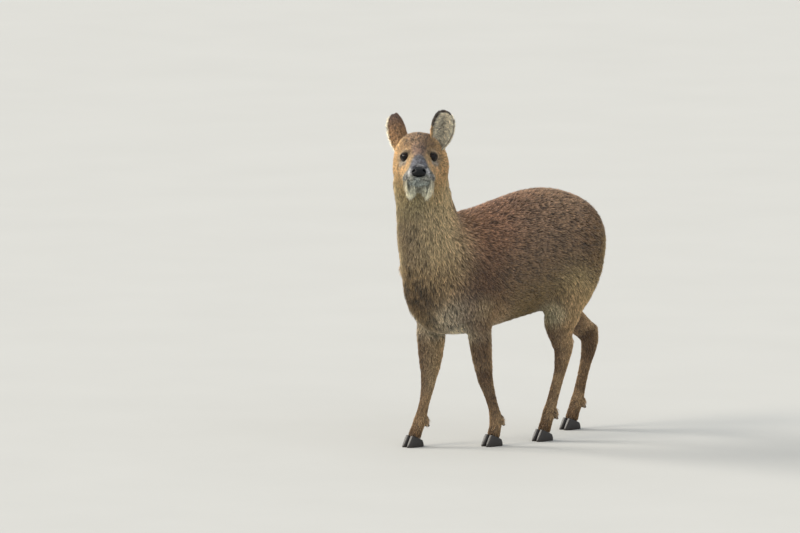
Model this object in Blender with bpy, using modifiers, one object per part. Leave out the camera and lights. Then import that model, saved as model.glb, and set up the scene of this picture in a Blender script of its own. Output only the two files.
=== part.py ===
"""A Chinese water deer in its winter coat, standing, with its head turned to its left. Life size.

Metres, +Z up. +X points from the tail to the chest and +Y to the animal's left. The origin is on the
floor, under the middle of the animal's bounding box. Every surface here is the outside of the coat.

The animal is modelled whole, as overlapping lofts that one voxel remesh fuses, and is then parted by
thin cuts into the pieces that a person would name. Tables are in millimetres: mm() makes them metres.
"""

import math
import random

import bmesh
import bpy
import numpy as np
from mathutils import Matrix, Vector
from mathutils.bvhtree import BVHTree

MM = 0.001

# Driving sizes, in millimetres
WITHERS = 518
CROUP = 555
BRISKET = 249
GAP = 0.3
SPARE = 2
VOXEL = 3.0
RING_POINTS = 64
STEPS_BETWEEN = 5

# Triangles left in the head and in the rest of the fused body, before the rest is parted
HEAD_TRIANGLES = 3400
BODY_TRIANGLES = 5280


def mm(*values):
    """Millimetres to a point, or to one length, in metres."""
    return values[0] * MM if len(values) == 1 else Vector(values) * MM


# Trunk: x, top, bottom, half width, height of the widest point
TRUNK = (
    (-286, 446, 424, 10, 436),
    (-282, 464, 408, 32, 437),
    (-268, 490, 362, 55, 430),
    (-244, 517, 332, 80, 422),
    (-203, 538, 306, 98, 412),
    (-143, CROUP - 2, 290, 106, 400),
    (-82, CROUP - 3, 278, 105, 392),
    (-12, CROUP - 16, 267, 106, 380),
    (52, WITHERS + 7, 256, 106, 372),
    (112, WITHERS - 1, BRISKET, 98, 374),
    (158, WITHERS - 12, BRISKET + 3, 85, 378),
    (200, 478, 266, 71, 382),
    (229, 446, 298, 52, 385),
    (243, 414, 342, 30, 386),
    (247, 396, 370, 10, 384),
)

# Neck: x, y, z, reach to the front, to the back and to each side, and the turn of its front to the left
NECK = (
    (118, 0, 392, 124, 96, 90, 0),
    (158, 0, 434, 115, 86, 80, 0),
    (188, 1, 478, 92, 74, 68, 4),
    (205, 3, 522, 79, 68, 61, 10),
    (218, 7, 562, 72, 66, 60, 20),
    (230, 13, 602, 68, 63, 61, 34),
    (235, 27, 640, 56, 60, 57, 46),
    (242, 35, 664, 43, 48, 48, 50),
)

# Legs: x, y, z, reach to the front, to the back and to each side. The last row ends under the hoof's top
FORE_LEFT = (
    (150, 58, 420, 66, 62, 32),
    (128, 64, 345, 52, 50, 36),
    (110, 62, 290, 36, 38, 31),
    (97, 56, 247, 29, 29, 24),
    (88, 53, 199, 25, 25, 20.5),
    (80, 51, 167, 20, 20, 17),
    (75, 50, 148, 19.5, 17.5, 16.5),
    (68, 50, 128, 16, 15.5, 13.5),
    (58, 50, 100, 13, 13.5, 11.5),
    (51, 50, 78, 13, 14, 12),
    (46, 50, 60, 15, 15.5, 15),
    (47, 50, 43, 14, 13, 15),
    (51, 50, 28, 14, 13.5, 16.5),
    (54, 50, 16, 14, 14, 16.5),
    (57, 50, 4, 14, 14, 15),
)
FORE_RIGHT = (
    (168, -58, 420, 64, 62, 32),
    (148, -64, 345, 54, 56, 36),
    (138, -61, 290, 40, 46, 33),
    (144, -56, 243, 33, 39, 27),
    (148, -53, 196, 29, 33, 22),
    (151, -51, 165, 22, 24, 18),
    (154, -50, 146, 20, 18, 16.5),
    (158, -50, 126, 16.5, 16, 13.5),
    (166, -50, 98, 13, 13.5, 11.5),
    (173, -50, 76, 13, 14, 12),
    (178, -50, 59, 15, 15.5, 15),
    (186, -50, 43, 13.5, 13.5, 15),
    (193, -50, 28, 14, 13.5, 16.5),
    (197, -50, 16, 14, 14, 16.5),
    (201, -50, 4, 14, 14, 15),
)
HIND_LEFT = (
    (-190, 52, 460, 78, 69, 46),
    (-170, 63, 395, 80, 76, 45),
    (-148, 70, 342, 68, 67, 40),
    (-131, 71, 302, 50, 55, 34),
    (-124, 68, 262, 42, 50, 27),
    (-131, 63, 228, 29, 32, 20),
    (-139, 60, 205, 23, 28, 17.5),
    (-139, 58, 182, 19.5, 21, 16),
    (-132, 57, 148, 14, 15.5, 12.5),
    (-120, 56, 110, 13, 13.5, 12),
    (-111, 55, 82, 13.5, 14.5, 12.5),
    (-104, 55, 62, 15, 16, 15),
    (-97, 55, 44, 13.5, 13.5, 15),
    (-91, 55, 28, 14, 13.5, 16.5),
    (-87, 55, 16, 14, 14, 16.5),
    (-84, 55, 4, 14, 14, 15),
)
HIND_RIGHT = (
    (-198, -52, 460, 76, 72, 46),
    (-196, -63, 395, 76, 74, 45),
    (-198, -71, 345, 60, 66, 40),
    (-216, -71, 305, 46, 54, 33),
    (-250, -67, 264, 34, 38, 26),
    (-287, -62, 232, 26, 30, 20),
    (-314, -59, 206, 22, 27, 17.5),
    (-315, -57, 182, 19.5, 21, 16),
    (-305, -56, 148, 14, 15.5, 12.5),
    (-293, -55, 110, 13, 13.5, 12),
    (-284, -54, 82, 13.5, 14.5, 12.5),
    (-278, -54, 62, 15, 16, 15),
    (-270, -54, 44, 13.5, 13.5, 15),
    (-264, -54, 28, 14, 13.5, 16.5),
    (-260, -54, 16, 14, 14, 16.5),
    (-257, -54, 4, 14, 14, 15),
)
TAIL = (
    (-250, 0, 486, 8, 8, 10),
    (-269, 0, 476, 8, 8, 11),
    (-283, 0, 459, 8, 8, 11),
    (-289, 0, 438, 7, 7, 9.5),
    (-291, 0, 420, 3, 3, 4),
)

# Each leg: its rows, side, x range of its top, heights of the cut at its inner and outer side, row of its
# knee or hock, and row of its fetlock
LEGS = {
    "foreleg_left": (FORE_LEFT, 1, (52, 172), (256, 346), 6, 10),
    "foreleg_right": (FORE_RIGHT, -1, (76, 198), (256, 346), 6, 10),
    "hindleg_left": (HIND_LEFT, 1, (-262, -58), (292, 404), 6, 11),
    "hindleg_right": (HIND_RIGHT, -1, (-356, -112), (292, 404), 6, 11),
}
INNER_SIDE = 27
OUTER_SIDE = 150
FLARE = 50

# Cuts at both ends of the neck: a point on each, and the way it faces, the second in the head's own axes
NECK_CUT = ((195, 0, 463), (0.606, 0, 0.798))
HEAD_CUT = ((-50, 0, -21), (0.885, 0, 0.466))
CORONET_FACES = (-0.40, 0, 0.92)
CORONET_HEIGHT = 21

# Hoof: each claw's rows of distance forwards, height and half width, and the space between the two
CLAW = (
    (-17, 8, 4.5),
    (-13, 17, 6.6),
    (-4, 23, 7.4),
    (7, 28, 7.4),
    (13, 28, 7.0),
    (18, 20, 6.2),
    (23, 10.5, 4.6),
    (27, 3.5, 2.2),
)
# Points round one claw's section: across it in half widths, and up it in heights
CLAW_SECTION = ((-0.92, 0), (0.92, 0), (1, 0.35), (0.9, 0.75), (0.5, 1), (-0.5, 1), (-0.9, 0.75), (-1, 0.35))
CLAW_APART = 1.2
# Dew claw: distance from the leg's middle, radius and length
DEW_CLAW = (7.2, 5.4, 12.5)

# Head, from the point midway between the eyes: forward, left and up are its own three axes
HEAD_AT = mm(270, 54, 656)
HEAD_TURN = 50
HEAD_LIFT = 7
# Head: forward, top, bottom, half width, height of the widest point, narrowing towards the top
SKULL = (
    (-98, 18, -30, 20, -4, 0),
    (-84, 42, -66, 44, -8, 0),
    (-60, 53, -84, 56, -16, 0),
    (-35, 55, -88, 57, -20, 0.04),
    (-12, 49, -84, 51, -22, 0.28),
    (8, 38, -78, 42.5, -26, 0.5),
    (28, 25, -73, 38, -36, 0.6),
    (48, 10, -71, 36, -44, 0.5),
    (68, -3, -71, 34, -47, 0.35),
    (84, -12, -71, 30, -48, 0.25),
    (96, -19, -68, 25, -46, 0.15),
    (104, -25, -58, 16, -43, 0.1),
)
EYE_AT = (6, 27, 0)
EYE_RADIUS = 12.0
EYE_FACES = (0.85, 0.53, 0)
LID_THICKNESS = 1.4
EYE_OPENING = (19.5, 16)
MOUTH = ((52, 40, -44), (66, 38, -49), (80, 34, -52), (92, 26, -53), (101, 14, -52), (106, 0, -50))
LIP_RADIUS = 1.5
NOSE = (
    (86, -26, -41, 11, -33),
    (92, -22, -44, 14.5, -32),
    (100, -21, -45, 15.5, -31),
    (106, -23, -44, 14, -32),
    (109, -28, -40, 9, -33),
)
NOSTRIL = ((106, 10.5, -32), (9, 4.2, 3.4))

# Locks that hang from the jaw and chin: roots from the first to the last point, how many, whether both sides
# have them, length, and half width
LOCK_ROWS = (
    ((44, 36, -53), (84, 27, -57), 5, True, 33, 6.8),
    ((34, 29, -66), (88, 19, -64), 6, True, 30, 6.6),
    ((48, 14, -71), (88, 10, -68), 3, True, 20, 6.0),
    ((96, 0, -64), (97, 0, -64), 1, False, 15, 6.0),
)
# Along a lock: how far, and its width as a share of the widest. It starts under the surface
LOCK_SHAPE = ((0.0, 1.0), (0.42, 0.95), (0.78, 0.58), (1.0, 0.0))
LOCK_SUNK = 4.5
LOCK_THICK = 2.4

# Plain colours of the solids, as red, green and blue, with the roughness of each
COLOURS = {
    "coat": ((0.33, 0.24, 0.16), 0.9),
    "eye": ((0.02, 0.015, 0.012), 0.2),
    "nose": ((0.03, 0.03, 0.035), 0.4),
    "hoof": ((0.06, 0.05, 0.045), 0.5),
    "dewclaw": ((0.06, 0.05, 0.045), 0.5),
}

# Ear: along it, half width round the curl, and curl in radians
EAR = (
    (0.00, 27, 4.7),
    (0.12, 30, 4.0),
    (0.25, 32, 3.35),
    (0.40, 32.5, 2.75),
    (0.55, 31.5, 2.35),
    (0.70, 29, 2.0),
    (0.82, 24.5, 1.8),
    (0.92, 16.5, 1.7),
    (1.00, 4, 1.6),
)
EAR_LENGTH = 94
EAR_THICKNESS = 3.0
EAR_COLUMNS = 10
# Each ear: its root, the way it points and the way it opens, in the head's axes
EARS = {
    "ear_left": ((-46, 32, 14), (-0.12, 0.29, 0.95), (0.93, 0.35, 0.05)),
    "ear_right": ((-42, -25, 16), (-0.42, -0.27, 0.866), (-0.74, -0.65, 0.0)),
}


def smooth_between(rows, steps=STEPS_BETWEEN):
    """Rows on a smooth curve through the given rows, with this many steps from one to the next."""
    rows = np.asarray(rows, float)
    ends = np.vstack([2 * rows[0] - rows[1], rows, 2 * rows[-1] - rows[-2]])
    found = []
    for a, b, c, d in zip(ends, ends[1:], ends[2:], ends[3:]):
        for t in np.arange(steps) / steps:
            bend = (2 * a - 5 * b + 4 * c - d) * t**2 + (3 * b - a - 3 * c + d) * t**3
            found.append(0.5 * (2 * b + (c - a) * t + bend))
    found.append(rows[-1])
    return np.array(found)


def oval(centre, side, front, half, fore, aft, fullness=2.0, narrow=0.0, count=RING_POINTS):
    """A ring of points round centre: half to each side, fore and aft along front.

    Fullness squares the ring, and narrow draws its sides in towards the front.
    """
    points = []
    for i in range(count):
        angle = 2 * math.pi * i / count
        across = math.copysign(abs(math.cos(angle)) ** (2 / fullness), math.cos(angle))
        along = math.copysign(abs(math.sin(angle)) ** (2 / fullness), math.sin(angle))
        reach = fore if along > 0 else aft
        wide = half * (1 - narrow * max(along, 0))
        points.append(centre + side * (wide * across) + front * (reach * along))
    return points


def loft(bm, rings):
    """Adds a closed tube through rings of points, capped at both ends, to a bmesh."""
    loops = [[bm.verts.new(point) for point in ring] for ring in rings]
    made = []
    for low, high in zip(loops, loops[1:]):
        for i, here in enumerate(low):
            made.append(bm.faces.new((here, low[i - 1], high[i - 1], high[i])))
    made.append(bm.faces.new(loops[0]))
    made.append(bm.faces.new(loops[-1][::-1]))
    bmesh.ops.recalc_face_normals(bm, faces=made)


def barrel(bm, table, frame=Matrix.Identity(4), fullness=2.15, count=RING_POINTS, steps=STEPS_BETWEEN):
    """A loft of upright sections along the frame's first axis, such as the trunk or the head."""
    left, up = (frame.to_3x3() @ axis for axis in (Vector((0, 1, 0)), Vector((0, 0, 1))))
    rings = []
    for row in smooth_between([tuple(row) + (0,) * (6 - len(row)) for row in table], steps):
        x, top, bottom, half, widest = (mm(value) for value in row[:5])
        centre = frame @ Vector((x, 0, widest))
        rings.append(oval(centre, left, up, half, top - widest, widest - bottom, fullness, row[5], count))
    loft(bm, rings)


def limb(bm, table, count=RING_POINTS, steps=STEPS_BETWEEN):
    """A loft of sections square to a curved centre line, such as the neck or a leg."""
    rows = smooth_between([tuple(row) + (0,) * (7 - len(row)) for row in table], steps)
    centres = [mm(*row[:3]) for row in rows]
    rings = []
    for i, row in enumerate(rows):
        along = (centres[min(i + 1, len(rows) - 1)] - centres[max(i - 1, 0)]).normalized()
        turn = math.radians(row[6])
        ahead = Vector((math.cos(turn), math.sin(turn), 0))
        front = (ahead - along * ahead.dot(along)).normalized()
        side = front.cross(along)
        fore, aft, half = (mm(reach) for reach in row[3:6])
        rings.append(oval(centres[i], side, front, half, fore, aft, count=count))
    loft(bm, rings)


def bulge(bm, centre, radii, turn=Matrix.Identity(4), fine=(24, 14)):
    """Adds an ellipsoid, such as a muscle or a cheek, to a bmesh."""
    shape = Matrix.Translation(centre) @ turn @ Matrix.Diagonal((*radii, 1))
    bmesh.ops.create_uvsphere(bm, u_segments=fine[0], v_segments=fine[1], radius=1, matrix=shape)


def object_of(name, bm, collection):
    """A new object made from a bmesh, which is then freed."""
    mesh = bpy.data.meshes.new(name)
    bm.to_mesh(mesh)
    bm.free()
    made = bpy.data.objects.new(name, mesh)
    collection.objects.link(made)
    return made


def copy_of(source, name, collection):
    """A second object with the same mesh."""
    bm = bmesh.new()
    bm.from_mesh(source.data)
    return object_of(name, bm, collection)


def apply_modifiers(target):
    """Gives the object the mesh that its modifiers make, and removes them."""
    graph = bpy.context.evaluated_depsgraph_get()
    shaped = bpy.data.meshes.new_from_object(target.evaluated_get(graph))
    target.modifiers.clear()
    old = target.data
    target.data = shaped
    bpy.data.meshes.remove(old)


def reshape(target, work):
    """Runs work on the object's mesh as a bmesh."""
    bm = bmesh.new()
    bm.from_mesh(target.data)
    work(bm)
    bm.to_mesh(target.data)
    bm.free()


def keep_largest(target):
    """Drops every closed surface of the object but the one with the largest area."""
    def work(bm):
        unseen = set(bm.faces)
        islands = []
        while unseen:
            island = [unseen.pop()]
            for face in island:
                for edge in face.edges:
                    for other in edge.link_faces:
                        if other in unseen:
                            unseen.remove(other)
                            island.append(other)
            islands.append(island)
        islands.sort(key=lambda island: sum(face.calc_area() for face in island))
        for island in islands[:-1]:
            bmesh.ops.delete(bm, geom=island, context="FACES")
    reshape(target, work)


def boolean(target, operation, tools):
    """Cuts the target with each tool, keeps the largest surface, and removes the tools."""
    for tool in tools:
        step = target.modifiers.new(operation, "BOOLEAN")
        step.operation = operation
        step.solver = "EXACT"
        step.object = tool
    apply_modifiers(target)
    keep_largest(target)
    for tool in tools:
        bpy.data.objects.remove(tool)


def trim(target, point, faces):
    """Cuts the object with a plane, closes the cut, and keeps what lies on the side that it faces."""
    def work(bm):
        geometry = bm.verts[:] + bm.edges[:] + bm.faces[:]
        bmesh.ops.bisect_plane(bm, geom=geometry, plane_co=point, plane_no=faces, dist=1e-7, clear_inner=True)
        open_edges = [edge for edge in bm.edges if edge.is_boundary]
        bmesh.ops.holes_fill(bm, edges=open_edges, sides=0)
        bmesh.ops.triangulate(bm, faces=[face for face in bm.faces if len(face.verts) > 3])
    reshape(target, work)
    keep_largest(target)


def inflated(source, collection, amount=GAP):
    """A copy of a solid that is larger by the gap on every side."""
    grown = copy_of(source, source.name + "_grown", collection)
    swell = grown.modifiers.new("Swell", "DISPLACE")
    swell.mid_level = 0
    swell.strength = mm(amount)
    apply_modifiers(grown)
    return grown


def head_frame():
    """The head's own axes: forward along the muzzle, left, and up."""
    turn = Matrix.Rotation(math.radians(HEAD_TURN), 4, "Z")
    lift = Matrix.Rotation(math.radians(-HEAD_LIFT), 4, "Y")
    return Matrix.Translation(HEAD_AT) @ turn @ lift


def in_head(frame, point, side=1):
    """A point of the head's table, in metres in the world. Side is 1 for left and -1 for right."""
    forward, left, up = point
    return frame @ mm(forward, side * left, up)


def fused_body(collection):
    """Every form of flesh and coat as one smooth closed mesh."""
    frame = head_frame()
    turned = frame.to_3x3().to_4x4()
    bm = bmesh.new()
    barrel(bm, TRUNK)
    limb(bm, NECK)
    for table in (FORE_LEFT, FORE_RIGHT, HIND_LEFT, HIND_RIGHT):
        limb(bm, table)
    barrel(bm, SKULL, frame, 2.3)
    ball = mm(EYE_RADIUS + LID_THICKNESS + 1)
    for side in (1, -1):
        bulge(bm, mm(144, side * 64, 398), mm(60, 28, 88))
        bulge(bm, in_head(frame, EYE_AT, side), (ball, ball, ball))
        bulge(bm, in_head(frame, (0, 26, 11), side), mm(23, 12, 8), turned)
        bulge(bm, in_head(frame, (62, 22, -52), side), mm(26, 16, 14), turned)
    for table in (HIND_LEFT, HIND_RIGHT):
        x, y, z = table[6][:3]
        bulge(bm, mm(x - 17, y, z + 10), mm(13, 9, 15))
    body = object_of("body", bm, collection)
    fuse = body.modifiers.new("Fuse", "REMESH")
    fuse.mode = "VOXEL"
    fuse.voxel_size = mm(VOXEL)
    soften = body.modifiers.new("Soften", "SMOOTH")
    soften.iterations = 8
    apply_modifiers(body)
    broad = weights(body, "broad", (230, 330, 510, 580), (0, 1, 1, 0))
    blend = body.modifiers.new("Blend", "SMOOTH")
    blend.iterations = 90
    blend.vertex_group = broad
    apply_modifiers(body)
    return body


def thin(target, triangles):
    """Decimates the object to about this many triangles."""
    step = target.modifiers.new("Thin", "DECIMATE")
    step.ratio = triangles / sum(len(face.vertices) - 2 for face in target.data.polygons)
    apply_modifiers(target)


def weights(target, name, heights, values):
    """A vertex group whose weight goes by height, in millimetres. Returns its name."""
    group = target.vertex_groups.new(name=name)
    for vertex in target.data.vertices:
        group.add([vertex.index], float(np.interp(vertex.co.z / MM, heights, values)), "REPLACE")
    return name


def leg_box(name, leg, collection, inset=0.0):
    """The wedge that parts a leg from the torso. Its top slopes up towards the outside, and its sides flare."""
    _, side, (rear, front), (inner, outer), *_ = LEGS[leg]
    bm = bmesh.new()
    corners = []
    for y, top in ((INNER_SIDE, inner), (OUTER_SIDE, outer)):
        reach = y + (inset if y == INNER_SIDE else 0)
        for x, out in ((rear + inset, -FLARE), (front - inset, FLARE)):
            corners.append(mm(x, side * reach, top - 1.5 * inset))
            corners.append(mm(x + out, side * reach, -60))
    for corner in corners:
        bm.verts.new(corner)
    bmesh.ops.convex_hull(bm, input=bm.verts[:])
    return object_of(name, bm, collection)


def row_frame(rows, i):
    """The centre of a leg's row, and the way the leg runs there, upwards."""
    centre = mm(*rows[i][:3])
    return centre, (mm(*rows[i - 1][:3]) - mm(*rows[i + 1][:3])).normalized()


def build_legs(body, collection):
    """Each leg, parted at the knee or hock and at the coronet, with its hooves and dew claws."""
    for name, (rows, side, _, _, knee, fetlock) in LEGS.items():
        upper = copy_of(body, name + "_upper", collection)
        boolean(upper, "INTERSECT", [leg_box("box", name, collection, GAP)])
        lower = copy_of(upper, name + "_lower", collection)
        joint, up = row_frame(rows, knee)
        trim(upper, joint + up * mm(GAP / 2), up)
        trim(lower, joint - up * mm(GAP / 2), -up)
        foot_x = np.interp(-CORONET_HEIGHT, [-row[2] for row in rows[-3:]], [row[0] for row in rows[-3:]])
        foot = mm(float(foot_x), rows[-2][1], 0)
        coronet = foot + mm(0, 0, CORONET_HEIGHT)
        faces = Vector(CORONET_FACES)
        trim(lower, coronet, faces)
        for end, across in (("inner", -side), ("outer", side)):
            claw = build_claw(f"hoof_{name}_{end}", foot, across, collection)
            trim(claw, coronet - faces * mm(GAP), -faces)
            build_dew_claw(f"dewclaw_{name}_{end}", rows[fetlock], across, lower, collection)


def build_claw(name, foot, across, collection):
    """One of the two claws of a hoof, flat on the floor."""
    bm = bmesh.new()
    middle = across * (CLAW_APART / 2 + max(row[2] for row in CLAW))
    rings = []
    for forward, high, half in CLAW:
        ring = []
        for y, z in CLAW_SECTION:
            ring.append(foot + mm(forward, middle + across * y * half, z * high))
        rings.append(ring)
    loft(bm, rings)
    return object_of(name, bm, collection)


def build_dew_claw(name, row, across, leg, collection):
    """A small cone of horn behind the fetlock, whose root is cut to the leg."""
    x, y, z, _, aft, _ = row
    reach, radius, length = DEW_CLAW
    faces = Vector((-0.6, 0.15 * across, -0.78)).normalized()
    root = mm(x - 0.6 * aft, y + across * reach, z - 6)
    turn = faces.to_track_quat("Z", "Y").to_matrix().to_4x4()
    shape = Matrix.Translation(root + faces * mm(length / 2)) @ turn @ Matrix.Diagonal((1, 0.8, 1, 1))
    bm = bmesh.new()
    bmesh.ops.create_cone(bm, cap_ends=True, segments=10, radius1=mm(radius), radius2=mm(0.6 * radius),
                          depth=mm(length), matrix=shape)
    claw = object_of(name, bm, collection)
    boolean(claw, "DIFFERENCE", [inflated(leg, collection)])


def build_ear(name, carriers, frame, collection):
    """A leaf of skin and hair, rolled round its root, whose foot is cut to the head and neck."""
    root, points, opens = EARS[name]
    turn = frame.to_3x3()
    along = (turn @ Vector(points)).normalized()
    opening = turn @ Vector(opens)
    opening = (opening - along * opening.dot(along)).normalized()
    side = opening.cross(along)
    bm = bmesh.new()
    rows = []
    for s, half, curl in smooth_between(EAR, 1):
        radius = 2 * mm(half) / curl
        spine = frame @ mm(*root) + along * mm(EAR_LENGTH * s)
        row = []
        for i in range(EAR_COLUMNS + 1):
            angle = curl * (i / EAR_COLUMNS - 0.5)
            row.append(bm.verts.new(spine + opening * (radius * (1 - math.cos(angle)))
                                    + side * (radius * math.sin(angle))))
        rows.append(row)
    for low, high in zip(rows, rows[1:]):
        for i in range(EAR_COLUMNS):
            bm.faces.new((low[i], low[i + 1], high[i + 1], high[i]))
    bmesh.ops.triangulate(bm, faces=bm.faces[:])
    ear = object_of(name, bm, collection)
    thick = ear.modifiers.new("Thick", "SOLIDIFY")
    thick.thickness = mm(EAR_THICKNESS)
    thick.offset = 0
    apply_modifiers(ear)
    reshape(ear, lambda shape: bmesh.ops.recalc_face_normals(shape, faces=shape.faces[:]))
    boolean(ear, "DIFFERENCE", [inflated(carrier, collection) for carrier in carriers])


def eye_opening(name, frame, side, collection):
    """The almond-shaped prism that opens the lids over an eye."""
    centre = in_head(frame, EYE_AT, side)
    turn = frame.to_3x3()
    faces = (turn @ Vector((EYE_FACES[0], side * EYE_FACES[1], EYE_FACES[2]))).normalized()
    across = (turn @ Vector((0, 0, 1))).cross(faces).normalized()
    up = faces.cross(across)
    wide, high = EYE_OPENING
    outline = []
    for i in range(16):
        angle = 2 * math.pi * i / 16
        outline.append((math.cos(angle) * wide / 2, math.sin(angle) * abs(math.sin(angle)) ** 0.4 * high / 2))
    rings = []
    for out, scale in ((2, 0.9), (EYE_RADIUS, 1.0), (EYE_RADIUS + 12, 1.5)):
        rings.append([centre + faces * mm(out) + across * mm(x * scale) + up * mm(y * scale) for x, y in outline])
    bm = bmesh.new()
    loft(bm, rings)
    return object_of(name, bm, collection)


def mouth_line(name, head, frame, collection):
    """A thin tube that follows the lips on the head's surface, from one corner to the other."""
    bm = bmesh.new()
    bm.from_mesh(head.data)
    surface = BVHTree.FromBMesh(bm)
    bm.free()
    half = smooth_between(MOUTH, 3)
    line = [in_head(frame, point, side) for side, part in ((1, half), (-1, half[-2::-1])) for point in part]
    line = [surface.find_nearest(point)[0] for point in line]
    tube = bmesh.new()
    rings = []
    for i, centre in enumerate(line):
        along = (line[min(i + 1, len(line) - 1)] - line[max(i - 1, 0)]).normalized()
        out = surface.find_nearest(centre)[1]
        out = (out - along * out.dot(along)).normalized()
        taper = min(1.0, 0.45 + 0.15 * min(i, len(line) - 1 - i))
        radius = mm(LIP_RADIUS * taper)
        rings.append(oval(centre, out.cross(along), out, radius, 1.4 * radius, 1.4 * radius, count=6))
    loft(tube, rings)
    return object_of(name, tube, collection)


def build_lock(name, root, out, ahead, hang, length, half, collection):
    """A flat, tapered lock that leaves the surface along out and ahead, and bends back to hang."""
    start = root - out * mm(LOCK_SUNK)
    knee = root + (out * 0.5 + hang + ahead * 0.35).normalized() * mm(length * 0.45)
    tip = knee + hang * mm(length * 0.55)
    bm = bmesh.new()
    rings = []
    for t, wide in LOCK_SHAPE:
        centre = start * (1 - t) ** 2 + knee * (2 * t * (1 - t)) + tip * t**2
        along = ((knee - start) * (1 - t) + (tip - knee) * t).normalized()
        across = along.cross(out).normalized()
        over = across.cross(along)
        if wide == 0:
            point = bm.verts.new(centre)
            break
        corners = ((half, 0), (0, LOCK_THICK / 2), (-half, 0), (0, -LOCK_THICK / 2))
        rings.append([bm.verts.new(centre + across * mm(x * wide) + over * mm(y * wide)) for x, y in corners])
    for low, high in zip(rings, rings[1:]):
        for i, here in enumerate(low):
            bm.faces.new((here, low[i - 1], high[i - 1], high[i]))
    for i, here in enumerate(rings[-1]):
        bm.faces.new((here, rings[-1][i - 1], point))
    bm.faces.new(rings[0])
    bmesh.ops.triangulate(bm, faces=bm.faces[:])
    bmesh.ops.recalc_face_normals(bm, faces=bm.faces[:])
    return object_of(name, bm, collection)


def add_locks(head, frame):
    """Fuses the pale locks of the jaw and chin with the head, each rooted in its surface."""
    draw = random.Random(11)
    turned = frame.to_3x3()
    ahead = turned @ Vector((1, 0, 0))
    bm = bmesh.new()
    bm.from_mesh(head.data)
    surface = BVHTree.FromBMesh(bm)
    bm.free()
    locks = bpy.data.collections.new("locks")
    bpy.context.scene.collection.children.link(locks)
    for first, last, count, paired, length, half in LOCK_ROWS:
        for side in (1, -1) if paired else (1,):
            for i in range(count):
                share = (i + draw.uniform(-0.15, 0.15)) / max(count - 1, 1)
                point = np.add(first, np.subtract(last, first) * share)
                root, out, *_ = surface.find_nearest(in_head(frame, point, side))
                sway = (draw.uniform(-0.42, -0.12), -side * 0.34 * paired + draw.uniform(-0.08, 0.08), -1)
                hang = (turned @ Vector(sway)).normalized()
                reach = length * draw.uniform(0.82, 1.06)
                build_lock("lock", root, out, ahead, hang, reach, half * draw.uniform(0.85, 1.1), locks)
    union = head.modifiers.new("Locks", "BOOLEAN")
    union.operation = "UNION"
    union.operand_type = "COLLECTION"
    union.collection = locks
    union.solver = "EXACT"
    apply_modifiers(head)
    for lock in list(locks.objects):
        bpy.data.objects.remove(lock)
    bpy.data.collections.remove(locks)
    keep_largest(head)


def head_cut(offset):
    """A point on the cut between head and neck, moved this far towards the face, and the way it faces."""
    frame = head_frame()
    faces = frame.to_3x3() @ Vector(HEAD_CUT[1]).normalized()
    return in_head(frame, HEAD_CUT[0]) + faces * mm(offset), faces


def build_head(head, neck, collection):
    """The head with its ears, eyes and nose."""
    frame = head_frame()
    turned = frame.to_3x3()
    trim(head, *head_cut(GAP / 2))
    for name in EARS:
        build_ear(name, (head, neck), frame, collection)
    cutters = [mouth_line("lips", head, frame, collection)]
    for name, side in (("left", 1), ("right", -1)):
        for role, radius in (("eye_" + name, EYE_RADIUS), ("socket", EYE_RADIUS + GAP)):
            bm = bmesh.new()
            radii = (mm(radius),) * 3
            bulge(bm, in_head(frame, EYE_AT, side), radii, fine=(14, 10))
            made = object_of(role, bm, collection)
        cutters.append(made)
        cutters.append(eye_opening("lids", frame, side, collection))
    bm = bmesh.new()
    barrel(bm, NOSE, frame, 2.6, 18, 1)
    nose = object_of("nose", bm, collection)
    cutters.append(inflated(nose, collection))
    boolean(head, "DIFFERENCE", cutters)
    add_locks(head, frame)
    nostrils = []
    for side in (1, -1):
        bm = bmesh.new()
        spread = Matrix.Rotation(side * math.radians(32), 4, "Z")
        bulge(bm, in_head(frame, NOSTRIL[0], side), mm(*NOSTRIL[1]), turned.to_4x4() @ spread, (10, 6))
        nostrils.append(object_of("nostril", bm, collection))
    boolean(nose, "DIFFERENCE", nostrils)


def build_trunk(body, collection):
    """The torso, the neck and the tail. Returns the neck."""
    point, faces = mm(*NECK_CUT[0]), Vector(NECK_CUT[1]).normalized()
    neck = copy_of(body, "neck", collection)
    trim(neck, point + faces * mm(GAP / 2), faces)
    far_point, far_faces = head_cut(-GAP / 2)
    trim(neck, far_point, -far_faces)
    torso = copy_of(body, "torso", collection)
    trim(torso, point - faces * mm(GAP / 2), -faces)
    boolean(torso, "DIFFERENCE", [leg_box("box", name, collection) for name in LEGS])
    bm = bmesh.new()
    limb(bm, TAIL, 12, 2)
    tail = object_of("tail", bm, collection)
    boolean(tail, "DIFFERENCE", [inflated(torso, collection)])
    return neck


def finish_part(collection):
    """Moves the whole animal so that its bounding box stands round the origin, and gives each node its colour."""
    corners = [vertex.co for each in collection.objects for vertex in each.data.vertices]
    low = Vector(min(corner[i] for corner in corners) for i in range(3))
    high = Vector(max(corner[i] for corner in corners) for i in range(3))
    shift = Vector((-(low.x + high.x) / 2, -(low.y + high.y) / 2, 0))
    materials = {}
    for name, (colour, rough) in COLOURS.items():
        material = bpy.data.materials.new(name)
        material.use_nodes = True
        shader = material.node_tree.nodes["Principled BSDF"]
        shader.inputs["Base Color"].default_value = (*colour, 1)
        shader.inputs["Roughness"].default_value = rough
        materials[name] = material
    for each in collection.objects:
        each.data.transform(Matrix.Translation(shift))
        kind = each.name.split("_")[0]
        each.data.materials.clear()
        each.data.materials.append(materials.get(kind, materials["coat"]))


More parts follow.
